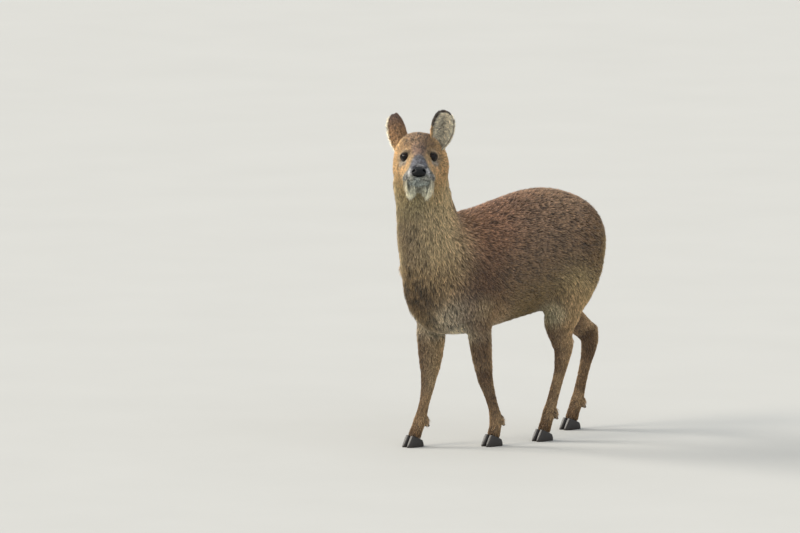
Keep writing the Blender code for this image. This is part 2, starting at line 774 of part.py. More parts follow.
def main():
    for old in list(bpy.data.objects):
        bpy.data.objects.remove(old)
    deer = bpy.data.collections.new("water_deer")
    bpy.context.scene.collection.children.link(deer)
    body = fused_body(deer)
    head = copy_of(body, "head", deer)
    point, faces = head_cut(-SPARE)
    trim(head, point, faces)
    thin(head, HEAD_TRIANGLES)
    point, faces = head_cut(SPARE)
    trim(body, point, -faces)
    thin(body, BODY_TRIANGLES)
    neck = build_trunk(body, deer)
    build_head(head, neck, deer)
    build_legs(body, deer)
    bpy.data.objects.remove(body)
    finish_part(deer)


main()
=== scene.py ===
# %% [markdown]
# # A Chinese water deer in its winter coat
#
# The solid model gives the animal's outline out to the tips of its hair. This script dresses it: one skin
# a little below that outline, about a hundred and fifty thousand small tufts of hair, and the bare pieces
# that a deer shows, which are its eyes, lids, nose, lips and hooves. Everything is measured from the
# solids, so nothing has to be fitted afterwards.

# %% Load the solids and keep their box
import math

import bpy
import numpy as np
from mathutils import Matrix, Vector, noise
from mathutils.bvhtree import BVHTree


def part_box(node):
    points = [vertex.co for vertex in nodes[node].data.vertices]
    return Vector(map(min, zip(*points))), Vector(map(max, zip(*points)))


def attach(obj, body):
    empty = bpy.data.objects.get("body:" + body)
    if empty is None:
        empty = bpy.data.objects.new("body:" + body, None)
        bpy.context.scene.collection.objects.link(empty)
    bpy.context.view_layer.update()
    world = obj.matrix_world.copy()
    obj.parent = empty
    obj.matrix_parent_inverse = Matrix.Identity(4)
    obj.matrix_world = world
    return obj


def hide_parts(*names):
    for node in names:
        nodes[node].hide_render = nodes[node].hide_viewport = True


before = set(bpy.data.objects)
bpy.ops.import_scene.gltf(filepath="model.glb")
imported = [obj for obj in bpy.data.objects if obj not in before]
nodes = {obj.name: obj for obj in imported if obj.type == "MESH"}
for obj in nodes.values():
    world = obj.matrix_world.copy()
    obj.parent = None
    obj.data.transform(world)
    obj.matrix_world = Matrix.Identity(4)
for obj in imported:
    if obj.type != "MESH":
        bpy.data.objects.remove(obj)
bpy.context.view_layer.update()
MM = 0.001

# %% [markdown]
# Two places of reference are enough. The head looks 50 degrees to the animal's left and 7 degrees up, so
# everything on the face is given as forward, left and up from the point midway between the eyes.
# Everything else is given in the animal's own axes: +X to the chest, +Y to its left, +Z up.

# %% The head's own axes and the body's origin
# In degrees
HEAD_TURN = 50
HEAD_LIFT = 7
# In millimetres: the left eye's place in the head's axes, and the head's place in the body's
EYE_AT = (6, 27, 0)
HEAD_AT = (270, 54, 656)


def middle(node):
    """The centre of a solid's box, as an array in metres."""
    low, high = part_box(node)
    return np.array((low + high) / 2)


turn = Matrix.Rotation(math.radians(HEAD_TURN), 3, "Z") @ Matrix.Rotation(math.radians(-HEAD_LIFT), 3, "Y")
HEAD_AXES = np.array(turn).T
EYES = {side: middle("eye_" + side) for side in ("left", "right")}
HEAD_ORIGIN = (EYES["left"] + EYES["right"]) / 2 - np.array([EYE_AT[0], 0, EYE_AT[2]]) * MM @ HEAD_AXES
BODY_ORIGIN = HEAD_ORIGIN - np.array(HEAD_AT) * MM


def in_head(points):
    """Points given as forward, left and up in millimetres, in metres in the world."""
    return HEAD_ORIGIN + np.asarray(points, float) * MM @ HEAD_AXES


def from_head(points):
    """Points of the world as forward, left and up from between the eyes, in millimetres."""
    return (np.asarray(points) - HEAD_ORIGIN) @ HEAD_AXES.T / MM


def in_body(points):
    """Points given in the body's axes in millimetres, in metres in the world."""
    return BODY_ORIGIN + np.asarray(points, float) * MM


eyes_apart = np.linalg.norm(EYES["left"] - EYES["right"]) / MM
print("between the eyes:", (HEAD_ORIGIN / MM).round(1), "eyes apart:", round(eyes_apart, 1))

# %% [markdown]
# ## Tools of the bench
#
# A solid's mesh is loose triangles, so a copy is merged before anything is done to it. Operators act on
# whatever is selected, and the loaded solids are selected, so each step selects its own object first.
# Points are read and moved as arrays, because a loop over a hundred thousand of them would take minutes.

# %% Selecting, merging and applying
# Points nearer to each other than this are one point
MERGED = 0.02 * MM


def pick(*things):
    """Selects these objects alone, and makes the first the active one."""
    bpy.ops.object.select_all(action="DESELECT")
    for thing in things:
        thing.select_set(True)
    bpy.context.view_layer.objects.active = things[0]


def whole_mesh(thing, operator, **settings):
    """Runs one of the mesh operators on all of an object."""
    pick(thing)
    bpy.ops.object.mode_set(mode="EDIT")
    bpy.ops.mesh.select_all(action="SELECT")
    operator(**settings)
    bpy.ops.object.mode_set(mode="OBJECT")


def merged_copy(name, *sources):
    """One new object from copies of the solids' meshes, with doubled points merged."""
    copies = []
    for source in sources:
        made = bpy.data.objects.new(name, nodes[source].data.copy())
        made.data.materials.clear()
        bpy.context.scene.collection.objects.link(made)
        copies.append(made)
    pick(*copies)
    if len(copies) > 1:
        bpy.ops.object.join()
    made = bpy.context.view_layer.objects.active
    whole_mesh(made, bpy.ops.mesh.remove_doubles, threshold=MERGED)
    made.name = name
    return made


def finish_with(thing, kind, **settings):
    """Adds a modifier with its settings and applies it."""
    pick(thing)
    step = thing.modifiers.new(kind.title(), kind)
    for setting, value in settings.items():
        setattr(step, setting, value)
    bpy.ops.object.modifier_apply(modifier=step.name)


def points_of(thing):
    """The places of an object's vertices, as an array."""
    found = np.zeros(len(thing.data.vertices) * 3, np.float32)
    thing.data.vertices.foreach_get("co", found)
    return found.reshape(-1, 3).astype(float)


def normals_of(thing):
    """The normals at an object's vertices, as an array."""
    found = np.zeros(len(thing.data.vertices) * 3, np.float32)
    thing.data.vertex_normals.foreach_get("vector", found)
    return found.reshape(-1, 3).astype(float)


def move_points(thing, places):
    """Puts an object's vertices at these places."""
    thing.data.vertices.foreach_set("co", np.asarray(places, np.float32).ravel())
    thing.data.update()


def unit(vectors):
    """Vectors with a length of one."""
    return vectors / np.maximum(np.linalg.norm(vectors, axis=-1, keepdims=True), 1e-9)


def triangles_of(thing):
    """The corners of an object's triangles, as an array of vertex numbers."""
    thing.data.calc_loop_triangles()
    found = np.zeros(len(thing.data.loop_triangles) * 3, np.int32)
    thing.data.loop_triangles.foreach_get("vertices", found)
    return found.reshape(-1, 3)


# %% [markdown]
# ## How the coat lies
#
# A keeper of a museum's skins would describe a coat place by place: the hair runs back along the spine,
# down and back over the ribs, straight down the neck and legs, and up the face from the nose. The tables
# below say just that. Each row has a place, how far it counts, the way the hair lies, the depth of the
# coat, the length of a tuft, the width of a tuft, and the name of its tone. Between the rows everything
# blends smoothly.
#
# A tone is what a patch of coat looks like from a step away. The number beside it says how strongly the
# patch is flecked: a winter deer is salt and pepper on its back and forehead, and nearly plain on its legs.

# %% Tones of the coat, and how strongly each is flecked with dark and pale tips
TONES = {
    "spine": ("#a47a5d", 2.1),
    "back": ("#94785f", 2.2),
    "croup": ("#a78769", 2.2),
    "rump": ("#70553a", 1.7),
    "rump_low": ("#cfb376", 0.8),
    "haunch": ("#ead69a", 0.8),
    "flank": ("#82684d", 1.6),
    "low_flank": ("#856c3c", 0.9),
    # Painted shade: the belly's tone is far darker than its own paler coat, and stands for the shade under
    # the body
    "belly_in_painted_shade": ("#594721", 0.7),
    "shoulder": ("#684b38", 1.5),
    "breast": ("#78603c", 1.6),
    "breast_side": ("#b0946d", 1.5),
    "axilla": ("#e6dcc0", 2.8),
    "neck_front": ("#917e63", 1.1),
    "neck_side": ("#dcc599", 1.2),
    "nape": ("#a08460", 1.4),
    "throat": ("#9c9069", 0.8),
    "leg": ("#d3b083", 0.8),
    "leg_front": ("#553a24", 0.9),
    "leg_inside": ("#dcc096", 0.7),
    # Painted shade: a real brown, darkened further to stand for shade on the outsides of the forelegs and the
    # insides of the hind legs
    "leg_brown_in_painted_shade": ("#664527", 0.9),
    "foot": ("#906f4a", 0.5),
    "crown": ("#937556", 2.2),
    "forehead": ("#937556", 2.8),
    "brow": ("#a07e54", 1.5),
    "between": ("#947662", 2.0),
    "bridge": ("#6f6f76", 1.9),
    "bridge_rim": ("#b3b2b4", 0.6),
    "nose_side": ("#dedcdb", 0.5),
    "eye_ring": ("#bfa27a", 0.9),
    "under_eye": ("#b6aa99", 0.8),
    "eye_corner": ("#503e2e", 0.6),
    "cheek": ("#d8ad75", 1.3),
    "cheek_low": ("#bfa06d", 1.1),
    "muzzle": ("#c7a675", 1.0),
    "mouth_side": ("#8a8882", 2.6),
    "lip": ("#abaa9d", 1.0),
    "chin": ("#adb4ae", 1.3),
    "fringe": ("#e2dfc8", 0.8),
    "ear_root": ("#d4ad77", 1.0),
    "elbow": ("#bfa987", 1.0),
    "groin": ("#d9cca6", 0.6),
    "breast_dark": ("#5a4832", 1.8),
}
print(len(TONES), "tones")

# %% [markdown]
# The body's rows come first, from the rump along the back and flanks to the neck. A row off the middle
# stands for both sides of the animal, except on the upper neck, which turns with the head.

# %% The lie of the coat on the body
# Place, reach, lie, depth, length, width, tone, in millimetres in the body's axes
BODY_COAT = (
    ((-286, 14, 440), 26, (-0.15, 0.1, -1), 6, 14, 1.45, "rump"),
    ((-255, 50, 480), 40, (-0.7, 0.1, -0.75), 8, 17, 1.45, "rump"),
    ((-262, 50, 400), 36, (-0.4, 0.1, -1), 8, 19, 1.35, "rump_low"),
    ((-215, 0, 545), 42, (-1, 0, -0.2), 8, 16, 1.5, "croup"),
    ((-120, 0, 558), 50, (-1, 0, 0), 8, 16, 1.5, "croup"),
    ((-30, 0, 545), 50, (-1, 0, 0), 8, 16, 1.5, "spine"),
    ((60, 0, 528), 50, (-1, 0, 0), 8, 16, 1.5, "spine"),
    ((140, 0, 512), 40, (-0.95, 0, -0.1), 8, 16, 1.5, "spine"),
    ((-150, 70, 520), 45, (-1, 0, -0.35), 8, 16, 1.5, "croup"),
    ((-40, 72, 505), 45, (-1, 0, -0.3), 8, 16, 1.5, "back"),
    ((60, 68, 490), 45, (-1, 0, -0.3), 8, 16, 1.5, "spine"),
    ((-210, 100, 450), 48, (-0.85, 0, -0.6), 8, 17, 1.45, "rump"),
    ((-200, 105, 375), 42, (-0.5, 0, -0.9), 7.5, 15, 1.45, "rump"),
    ((-110, 110, 420), 48, (-1, 0, -0.35), 8, 17, 1.45, "flank"),
    ((-20, 110, 400), 50, (-1, 0, -0.25), 8, 17, 1.45, "flank"),
    ((60, 106, 400), 46, (-0.95, 0, -0.35), 8, 17, 1.45, "flank"),
    ((125, 98, 420), 44, (-0.7, 0, -0.75), 8, 16, 1.45, "shoulder"),
    ((150, 90, 350), 42, (-0.45, 0, -0.95), 7.5, 15, 1.45, "shoulder"),
    ((110, 92, 310), 40, (-0.55, 0, -0.9), 6.5, 13, 1.45, "shoulder"),
    ((-60, 92, 315), 45, (-1, 0, -0.2), 8, 19, 1.35, "low_flank"),
    ((30, 90, 300), 45, (-1, 0, -0.1), 8, 19, 1.35, "low_flank"),
    ((-150, 85, 320), 40, (-0.8, 0, -0.6), 7, 17, 1.35, "haunch"),
    # Painted shade: these rows along the underside carry the belly's darkened tone, which stands for the
    # shade under the body
    ((-110, 0, 280), 45, (-1, 0, 0), 7, 20, 1.35, "belly_in_painted_shade"),
    ((-20, 0, 264), 50, (-1, 0, 0), 7, 20, 1.35, "belly_in_painted_shade"),
    ((70, 0, 250), 45, (-1, 0, 0), 7, 20, 1.35, "belly_in_painted_shade"),
    ((150, 0, 250), 40, (-1, 0, -0.1), 7, 20, 1.35, "breast"),
    ((116, 92, 315), 13, (0.3, 0, -0.9), 6, 13, 1.3, "elbow"),
    ((-92, 80, 288), 15, (-0.6, 0, -0.8), 6, 14, 1.3, "groin"),
    ((140, 30, 272), 16, (-0.5, 0.2, -0.8), 6, 20, 1.3, "axilla"),
    ((198, -44, 300), 12, (-0.4, 0, -1), 7, 20, 1.3, "axilla"),
    ((90, 30, 262), 20, (-0.9, 0, -0.3), 5, 18, 1.35, "axilla"),
    ((214, 0, 300), 34, (-0.5, 0, -0.9), 8, 22, 1.3, "breast"),
    ((236, 26, 350), 15, (-0.2, 0, -1), 8, 22, 1.3, "breast_dark"),
    ((245, 0, 385), 36, (0, 0, -1), 9, 24, 1.3, "breast"),
    ((215, 60, 380), 34, (-0.2, 0.1, -1), 9, 23, 1.3, "breast_side"),
    ((170, 70, 290), 32, (-0.4, 0, -1), 7, 20, 1.35, "axilla"),
    ((262, 0, 440), 38, (0.05, 0, -1), 9, 25, 1.3, "neck_front"),
    ((200, 66, 450), 38, (-0.35, 0, -1), 9, 23, 1.3, "neck_side"),
    ((120, 60, 470), 38, (-0.7, 0, -0.6), 8, 16, 1.5, "spine"),
    # Painted light: this row and the next but one lie only on the animal's right side, where their pale neck
    # tone stands for the rim light along that edge of the neck
    ((242, -40, 450), 17, (0.05, 0, -1), 9, 24, 1.3, "neck_side"),
    ((272, 5, 510), 36, (0.05, 0, -1), 9, 25, 1.3, "neck_front"),
    # Painted light: pale neck tone on the right edge of the neck only, standing for rim light, as in the row
    # two above
    ((244, -40, 520), 17, (0.05, 0, -1), 9, 24, 1.3, "neck_side"),
    ((205, 62, 520), 36, (-0.25, 0, -1), 9, 23, 1.3, "neck_side"),
    ((135, 5, 540), 36, (-0.5, 0, -0.85), 8, 22, 1.3, "nape"),
    ((147, -5, 590), 34, (-0.3, 0, -1), 8, 22, 1.3, "nape"),
    ((292, 0, 570), 32, (0, 0, -1), 9, 24, 1.3, "throat"),
    ((215, 76, 580), 32, (-0.1, 0, -1), 9, 22, 1.3, "neck_side"),
    ((255, -42, 580), 32, (0, 0, -1), 9, 22, 1.3, "neck_side"),
    ((230, 80, 615), 26, (-0.15, 0.1, -1), 8, 18, 1.35, "cheek_low"),
    ((290, -18, 615), 24, (0, 0, -1), 8, 18, 1.35, "cheek_low"),
    ((288, 30, 600), 22, (0, 0, -1), 7, 20, 1.35, "throat"),
)
# Rows nearer to the middle than this stand for themselves alone, as do those of the neck above this height
ON_MIDDLE = 9
NECK_TURNS = 560

# %% [markdown]
# The head needs more rows than all the rest, because its markings change within a finger's width: a grey
# bridge with a pale rim over the nose, whitish sides of the mouth, tawny cheeks, and a crown flecked
# like the back. On the face its hair is only 3 to 8 mm long, where the body has 14 to 25.

# %% The lie of the coat on the head
# The same as for the body, but as forward, left and up from between the eyes
HEAD_COAT = (
    ((-92, 0, 20), 26, (-0.5, 0, -1), 6, 18, 1.3, "nape"),
    ((-62, 0, 50), 20, (-1, 0, -0.1), 4.5, 12, 1.2, "crown"),
    ((-34, 0, 55), 17, (-1, 0, 0.1), 4, 10, 1.1, "crown"),
    ((-8, 0, 49), 13, (-1, 0, 0.3), 3.4, 8.5, 1.0, "forehead"),
    ((2, 12, 38), 9, (-1, 0.3, 0.4), 3, 7.5, 1.0, "forehead"),
    ((12, 0, 36), 9, (-1, 0, 0.5), 2.4, 6.5, 0.9, "forehead"),
    ((26, 0, 27), 8, (-1, 0, 0.5), 1.9, 5.5, 0.9, "forehead"),
    ((22, 12, 24), 6, (-1, 0.3, 0.4), 1.9, 5.5, 0.9, "between"),
    ((40, 0, 17), 6, (-1, 0, 0.5), 1.6, 4.6, 0.8, "between"),
    ((34, 12, 13), 6, (-1, 0.2, 0.3), 1.6, 4.6, 0.8, "between"),
    ((26, 20, 4), 5, (-1, 0.2, 0.3), 1.5, 4.5, 0.8, "muzzle"),
    ((6, 27, 26), 7, (-0.7, 0.8, 0.3), 3, 7, 1.0, "brow"),
    ((14, 20, 20), 5, (-0.8, 0.6, 0.3), 2, 5.5, 0.9, "brow"),
    ((-10, 36, 20), 8, (-0.8, 0.6, 0), 3, 7.5, 1.0, "brow"),
    ((-18, 45, 8), 9, (-1, 0.3, -0.1), 3.4, 8, 1.1, "cheek"),
    ((13, 30, 13), 3.5, (-0.8, 0.6, 0.2), 1.3, 3.5, 0.8, "eye_ring"),
    ((20, 26, -12), 4, (-0.8, 0.5, -0.3), 1.2, 3.5, 0.8, "under_eye"),
    ((8, 38, -12), 4.5, (-1, 0.3, -0.2), 1.4, 4, 0.8, "under_eye"),
    ((-6, 43, 0), 4.5, (-1, 0.3, -0.2), 1.8, 5, 0.9, "eye_ring"),
    ((22, 21, 6), 2.8, (-0.8, 0.5, 0.4), 1.0, 3.2, 0.8, "eye_corner"),
    ((26, 20, -7), 3.5, (-0.8, 0.4, -0.6), 1.0, 3.2, 0.8, "muzzle"),
    ((50, 0, 9), 6, (-1, 0, 0.3), 1.3, 4, 0.8, "between"),
    ((48, 11, 5), 5, (-1, 0.1, 0.3), 1.3, 4, 0.8, "between"),
    ((61, 0, 1), 5.5, (-1, 0, 0.3), 1.2, 3.8, 0.8, "bridge"),
    ((66, 11, -6), 4.5, (-1, 0.1, 0.2), 1.2, 3.8, 0.8, "bridge"),
    ((76, 0, -8), 6.5, (-1, 0, 0.3), 1.1, 3.4, 0.8, "bridge"),
    ((80, 13, -15), 5, (-1, 0.1, 0.2), 1.2, 3.6, 0.8, "bridge"),
    ((88, 16, -23), 3.6, (-1, 0.1, 0.2), 1.0, 3.2, 0.8, "bridge"),
    ((95, 0, -21), 1.5, (-1, 0, 0.4), 0.8, 2.8, 0.7, "bridge_rim"),
    ((93, 8, -22), 1.5, (-1, 0, 0.4), 0.8, 2.8, 0.7, "bridge_rim"),
    ((46, 17, 0), 5, (-1, 0.2, 0.1), 1.4, 4.5, 0.8, "muzzle"),
    ((58, 20, -11), 5, (-1, 0.2, 0.1), 1.3, 4.2, 0.8, "muzzle"),
    ((38, 26, -8), 9, (-1, 0.1, -0.2), 1.6, 4.8, 0.9, "cheek"),
    ((52, 26, -12), 8, (-1, 0.1, -0.2), 1.5, 4.5, 0.9, "cheek"),
    ((62, 24, -19), 5, (-1, 0.2, 0), 1.2, 4, 0.8, "muzzle"),
    ((74, 24, -25), 4, (-1, 0.2, -0.1), 1.2, 4, 0.8, "muzzle"),
    ((84, 21.5, -26), 2.8, (-1, 0.2, -0.1), 1.2, 4, 0.8, "mouth_side"),
    ((94, 19, -31), 2.3, (-0.9, 0.3, -0.3), 1.2, 4, 0.8, "nose_side"),
    ((96, 19.5, -37), 2.5, (-0.9, 0.3, -0.3), 1.2, 4.5, 0.8, "nose_side"),
    ((88, 26, -35), 3.6, (-1, 0.2, -0.3), 1.2, 4.5, 0.8, "mouth_side"),
    ((80, 30, -41), 4.5, (-1, 0.2, -0.5), 1.4, 5.5, 0.8, "mouth_side"),
    ((68, 34, -44), 4.5, (-0.9, 0.1, -0.6), 1.4, 6, 0.9, "mouth_side"),
    ((92, 24, -44), 3.6, (-0.8, 0.3, -0.6), 1.2, 5, 0.9, "mouth_side"),
    ((56, 31, -32), 7, (-1, 0.1, -0.4), 1.6, 5.5, 0.9, "cheek"),
    ((84, 28, -50), 3.6, (-0.8, 0.3, -0.7), 1.2, 5, 0.9, "mouth_side"),
    ((102, 8, -46), 4, (-0.5, 0.3, -0.7), 0.9, 4, 0.8, "lip"),
    ((99, 17, -45), 3.4, (-0.6, 0.4, -0.6), 0.9, 4, 0.8, "lip"),
    ((58, 36, -50), 4.5, (-0.8, 0, -0.7), 1.6, 8, 1.0, "lip"),
    ((98, 0, -56), 7, (-0.5, 0, -0.9), 1.4, 8, 0.9, "chin"),
    ((88, 14, -60), 7, (-0.6, 0, -0.9), 1.6, 8, 0.9, "chin"),
    ((80, 0, -70), 12, (-1, 0, -0.3), 2.5, 12, 1.1, "chin"),
    ((50, 0, -72), 14, (-1, 0, -0.2), 4, 15, 1.2, "chin"),
    ((66, 32, -57), 6, (-0.6, 0, -0.9), 2.2, 9, 1.0, "fringe"),
    ((48, 33, -60), 6, (-0.7, 0, -0.8), 2.6, 10, 1.1, "cheek_low"),
    ((30, 38, -50), 10, (-0.9, 0.1, -0.5), 3.5, 11, 1.2, "cheek_low"),
    ((22, 40, -30), 12, (-1, 0.2, -0.2), 3, 8, 1.1, "cheek"),
    ((0, 46, -30), 14, (-1, 0.1, -0.3), 4.5, 12, 1.2, "cheek"),
    ((-28, 55, -22), 16, (-1, 0.1, -0.4), 5, 14, 1.2, "cheek"),
    ((-26, 50, 22), 12, (-1, 0.2, 0.1), 4, 10, 1.2, "ear_root"),
    ((-6, 44, -62), 18, (-0.7, 0, -0.8), 5.5, 17, 1.3, "cheek_low"),
    ((10, 0, -80), 20, (-0.9, 0, -0.6), 6, 20, 1.3, "throat"),
    ((-60, 54, -20), 20, (-0.9, 0, -0.6), 6, 17, 1.3, "ear_root"),
    ((-55, 42, 26), 14, (-0.9, 0.2, 0.3), 4, 11, 1.2, "ear_root"),
    ((-60, 46, -60), 22, (-0.4, 0, -1), 7, 20, 1.3, "neck_side"),
)

# %% [markdown]
# On a leg the hair simply runs down, so its rows are worked out from the leg's middle line: at each of six
# points one row stands before it, one behind it, one outside and one inside. The front is the darkest.

# %% The lie of the coat on the legs
# Each leg's middle line from the trunk down, in the body's axes
LEG_LINES = {
    "foreleg_left": (
        (112, 62, 296), (92, 54, 215), (75, 50, 148), (55, 50, 90), (46, 50, 55), (54, 50, 22),
    ),
    "foreleg_right": (
        (142, -62, 296), (147, -54, 215), (154, -50, 148), (169, -50, 88), (179, -50, 55), (195, -50, 22),
    ),
    "hindleg_left": (
        (-140, 71, 310), (-124, 68, 250), (-139, 59, 190), (-120, 56, 110), (-106, 55, 66), (-90, 55, 26),
    ),
    "hindleg_right": (
        (-210, -71, 310), (-262, -66, 252), (-314, -58, 190), (-293, -55, 110), (-280, -54, 66),
        (-262, -54, 26),
    ),
}
# At each of those points: how far its rows stand before and beside the line, then reach, depth, length, width
LEG_STEPS = (
    (30, 30, 24, 6, 16, 1.4),
    (20, 19, 18, 4, 12, 1.3),
    (15, 14, 13, 1.9, 7, 1.15),
    (12, 12, 13, 1.6, 6.5, 1.1),
    (14, 14, 12, 2.0, 8, 1.15),
    (12, 13, 11, 1.9, 10, 1.1),
)
# And their tones before, behind, outside and inside. The brown on the outside of the forelegs and the inside
# of the hind legs is a real brown, darkened further with painted shade
LEG_TONES = {
    "foreleg": (
        ("shoulder", "leg", "leg_brown_in_painted_shade", "leg_inside"),
        ("leg_front", "leg", "leg_brown_in_painted_shade", "leg_inside"),
        ("leg_front", "leg", "leg_brown_in_painted_shade", "leg_inside"),
        ("leg_front", "leg", "leg_brown_in_painted_shade", "leg"),
        ("leg_front", "leg", "leg", "leg"),
        ("leg_front", "foot", "foot", "foot"),
    ),
    "hindleg": (
        ("shoulder", "leg", "leg", "leg_brown_in_painted_shade"),
        ("leg_front", "leg", "leg", "leg_brown_in_painted_shade"),
        ("leg_front", "leg", "leg", "leg_brown_in_painted_shade"),
        ("leg_front", "leg", "leg", "leg_brown_in_painted_shade"),
        ("leg_front", "leg", "leg", "leg"),
        ("leg_front", "foot", "foot", "foot"),
    ),
}

# %% [markdown]
# The three tables become plain arrays, so that thousands of points can be compared with all rows at once.

# %% All rows of the coat together
def coat_rows():
    """The rows as arrays: place, reach, lie, and depth, length and width, and the list of their tones."""
    places, reaches, lies, sizes, tones = [], [], [], [], []

    def add(place, reach, lie, size, tone):
        places.append(place)
        reaches.append(reach * MM)
        lies.append(lie)
        sizes.append(size)
        tones.append(tone)

    for table, put, axes in ((BODY_COAT, in_body, np.eye(3)), (HEAD_COAT, in_head, HEAD_AXES)):
        for place, reach, lie, depth, length, width, tone in table:
            on_upper_neck = table is BODY_COAT and place[2] > NECK_TURNS
            for side in (1, -1) if place[1] > ON_MIDDLE and not on_upper_neck else (1,):
                mirror = np.array([1, side, 1])
                add(put(place * mirror), reach, (lie * mirror) @ axes, (depth, length, width), tone)
    for name, line in LEG_LINES.items():
        leg, side = name.split("_")
        out = 1 if side == "left" else -1
        for i, (before, beside, reach, *size) in enumerate(LEG_STEPS):
            down = np.subtract(line[min(i + 1, len(line) - 1)], line[max(i - 1, 0)])
            down = down / np.linalg.norm(down)
            around = ((before, 0, 0), (-before, 0, 0), (0, out * beside, 0), (0, -out * beside, 0))
            for away, tone in zip(around, LEG_TONES[leg][i]):
                add(in_body(np.add(line[i], away)), reach, down, size, tone)
    return np.array(places), np.array(reaches), np.array(lies), np.array(sizes), tones


ROW_PLACES, ROW_REACHES, ROW_LIES, ROW_SIZES, ROW_TONES = coat_rows()
print(len(ROW_PLACES), "rows describe the coat")

# %% [markdown]
# A colour seen on a screen is stored in sRGB, but light is added up in linear values. One function turns
# the one into the other, and every colour in this script goes through it.

# %% From hex values to linear colour, and the coat at any place
def linear(code):
    """A hex colour as linear red, green and blue."""
    parts = np.array([int(code[i:i + 2], 16) for i in (1, 3, 5)]) / 255
    return np.where(parts <= 0.04045, parts / 12.92, ((parts + 0.055) / 1.055) ** 2.4)


ROW_COLOURS = np.array([linear(TONES[tone][0]) for tone in ROW_TONES])
ROW_FLECKS = np.array([TONES[tone][1] for tone in ROW_TONES])
# How much more a row with a small reach counts where it and a wide one both reach
SMALL_FIRST = 2.2


def coat_at(points):
    """Lie, sizes in metres, colour and flecks of the coat at each point, blended between the rows near it."""
    lies, sizes, colours, flecks = [], [], [], []
    for part in np.array_split(points, max(1, len(points) // 4000)):
        apart = np.linalg.norm(part[:, None] - ROW_PLACES[None], axis=2)
        closeness = -0.5 * (apart / ROW_REACHES) ** 2 - SMALL_FIRST * np.log(ROW_REACHES / MM)
        share = np.exp(closeness - closeness.max(1, keepdims=True))
        share /= share.sum(1, keepdims=True)
        lies.append(share @ ROW_LIES)
        sizes.append(share @ ROW_SIZES)
        colours.append(share @ ROW_COLOURS)
        flecks.append(share @ ROW_FLECKS)
    return np.vstack(lies), np.vstack(sizes) * MM, np.vstack(colours), np.concatenate(flecks)


print("on top of the back:", (coat_at(in_body([(60, 0, 528)]))[1] / MM).round(1), "deep, long and wide in mm")

# %% [markdown]
# ## The skin
#
# On the real animal one skin runs from the lips to the hooves. The solids are cut into parts with gaps of
# 0.3 mm, so their copies are swollen until they touch, and a voxel remesh turns them into one surface. The
# jaw's solid locks are pressed flat first, because in this model real strands take their place. The
# surface is then sunk by the depth of the coat and remeshed again, which heals any fold in the armpits.

# %% Fuse the flesh into one skin
FLESH = ["head", "neck", "torso", "tail"]
FLESH += [f"{leg}_{end}" for leg in LEG_LINES for end in ("upper", "lower")]
# The jaw's section from the mouth's corner to the chin: forward, half width, widest height, bottom
JAW = ((-10, 51, -24, -84), (8, 43, -27, -78), (28, 38, -36, -73), (48, 36, -44, -71), (68, 34, -47, -71),
       (84, 30, -48, -71), (96, 25, -46, -68), (104, 16, -43, -58))
# How square the jaw is below: 2 would make its section an ellipse
JAW_SQUARE = 2.3
# In millimetres: how far the parts are swollen to meet, the remesh's grain, and the gap between skin and coat
SWELL = 0.4
SKIN_GRAIN = 3.1
UNDER_COAT = 0.3


def press_locks(thing):
    """Presses whatever stands out of the jaw's underside back to the jaw's own section."""
    places = from_head(points_of(thing))
    forward, left, up = places.T
    stations, *section = zip(*JAW)
    half, widest, bottom = (np.interp(forward, stations, values) for values in section)
    lower = np.clip((widest - up) / (widest - bottom), 0, None)
    across = np.abs(left) / half
    ring = (lower ** JAW_SQUARE + across ** JAW_SQUARE) ** (1 / JAW_SQUARE)
    out = (forward > 8) & (forward < 108) & (up < widest - 3) & (ring > 1)
    places[out, 1] /= ring[out]
    places[out, 2] = widest[out] - (widest - up)[out] / ring[out]
    move_points(thing, in_head(places))
    print(int(out.sum()), "points of the jaw's locks pressed flat")


skin = merged_copy("skin", *FLESH)
press_locks(skin)
finish_with(skin, "DISPLACE", mid_level=0, strength=SWELL * MM)
finish_with(skin, "REMESH", mode="VOXEL", voxel_size=SKIN_GRAIN * MM)
finish_with(skin, "SMOOTH", iterations=5)
hide_depth = coat_at(points_of(skin))[1][:, :1]
move_points(skin, points_of(skin) - normals_of(skin) * (hide_depth + UNDER_COAT * MM))
finish_with(skin, "REMESH", mode="VOXEL", voxel_size=SKIN_GRAIN * MM)
finish_with(skin, "SMOOTH", iterations=4)
print("skin:", len(skin.data.vertices), "points")

# %% [markdown]
# Round each eye the skin is pressed in behind the lids, which are modelled on their own because they are
# finer than the skin's grain. The opening between the lids is a slanting almond, given as angles seen from
# the eye's middle, and everything near the eye is measured from its edge: where the skin may stay, where
# the coat stops, and where the lids' own hair begins.

# %% Sink the skin behind the eyes
EYE_RADIUS = 12.1
EYE_FACES = (0.86, 0.46, -0.15)
# Half width and half height of the opening between the lids, and its slant with the corner at the nose
# higher, in radians
LID_WIDE = 0.82
LID_HIGH = 0.56
LID_SLANT = 0.42
# Across a lid from its edge: added angle, and height over the eyeball in millimetres
LID_SECTION = ((-0.07, -1.2), (0.0, 0.35), (0.03, 1.05), (0.08, 1.5), (0.16, 1.7), (0.26, 1.55), (0.34, 1.35),
               (0.44, 1.9), (0.58, 2.1))
# By the angle outside that edge: how near to the eye's middle the skin may stay, in millimetres
SKIN_STAYS = ((0.45, 10.6), (0.62, 12.2), (1.0, 20))
SKIN_PRESSED = 20
# The coat turns aside for the eye between these distances from its middle, in millimetres
COAT_PARTS = (14, 26)


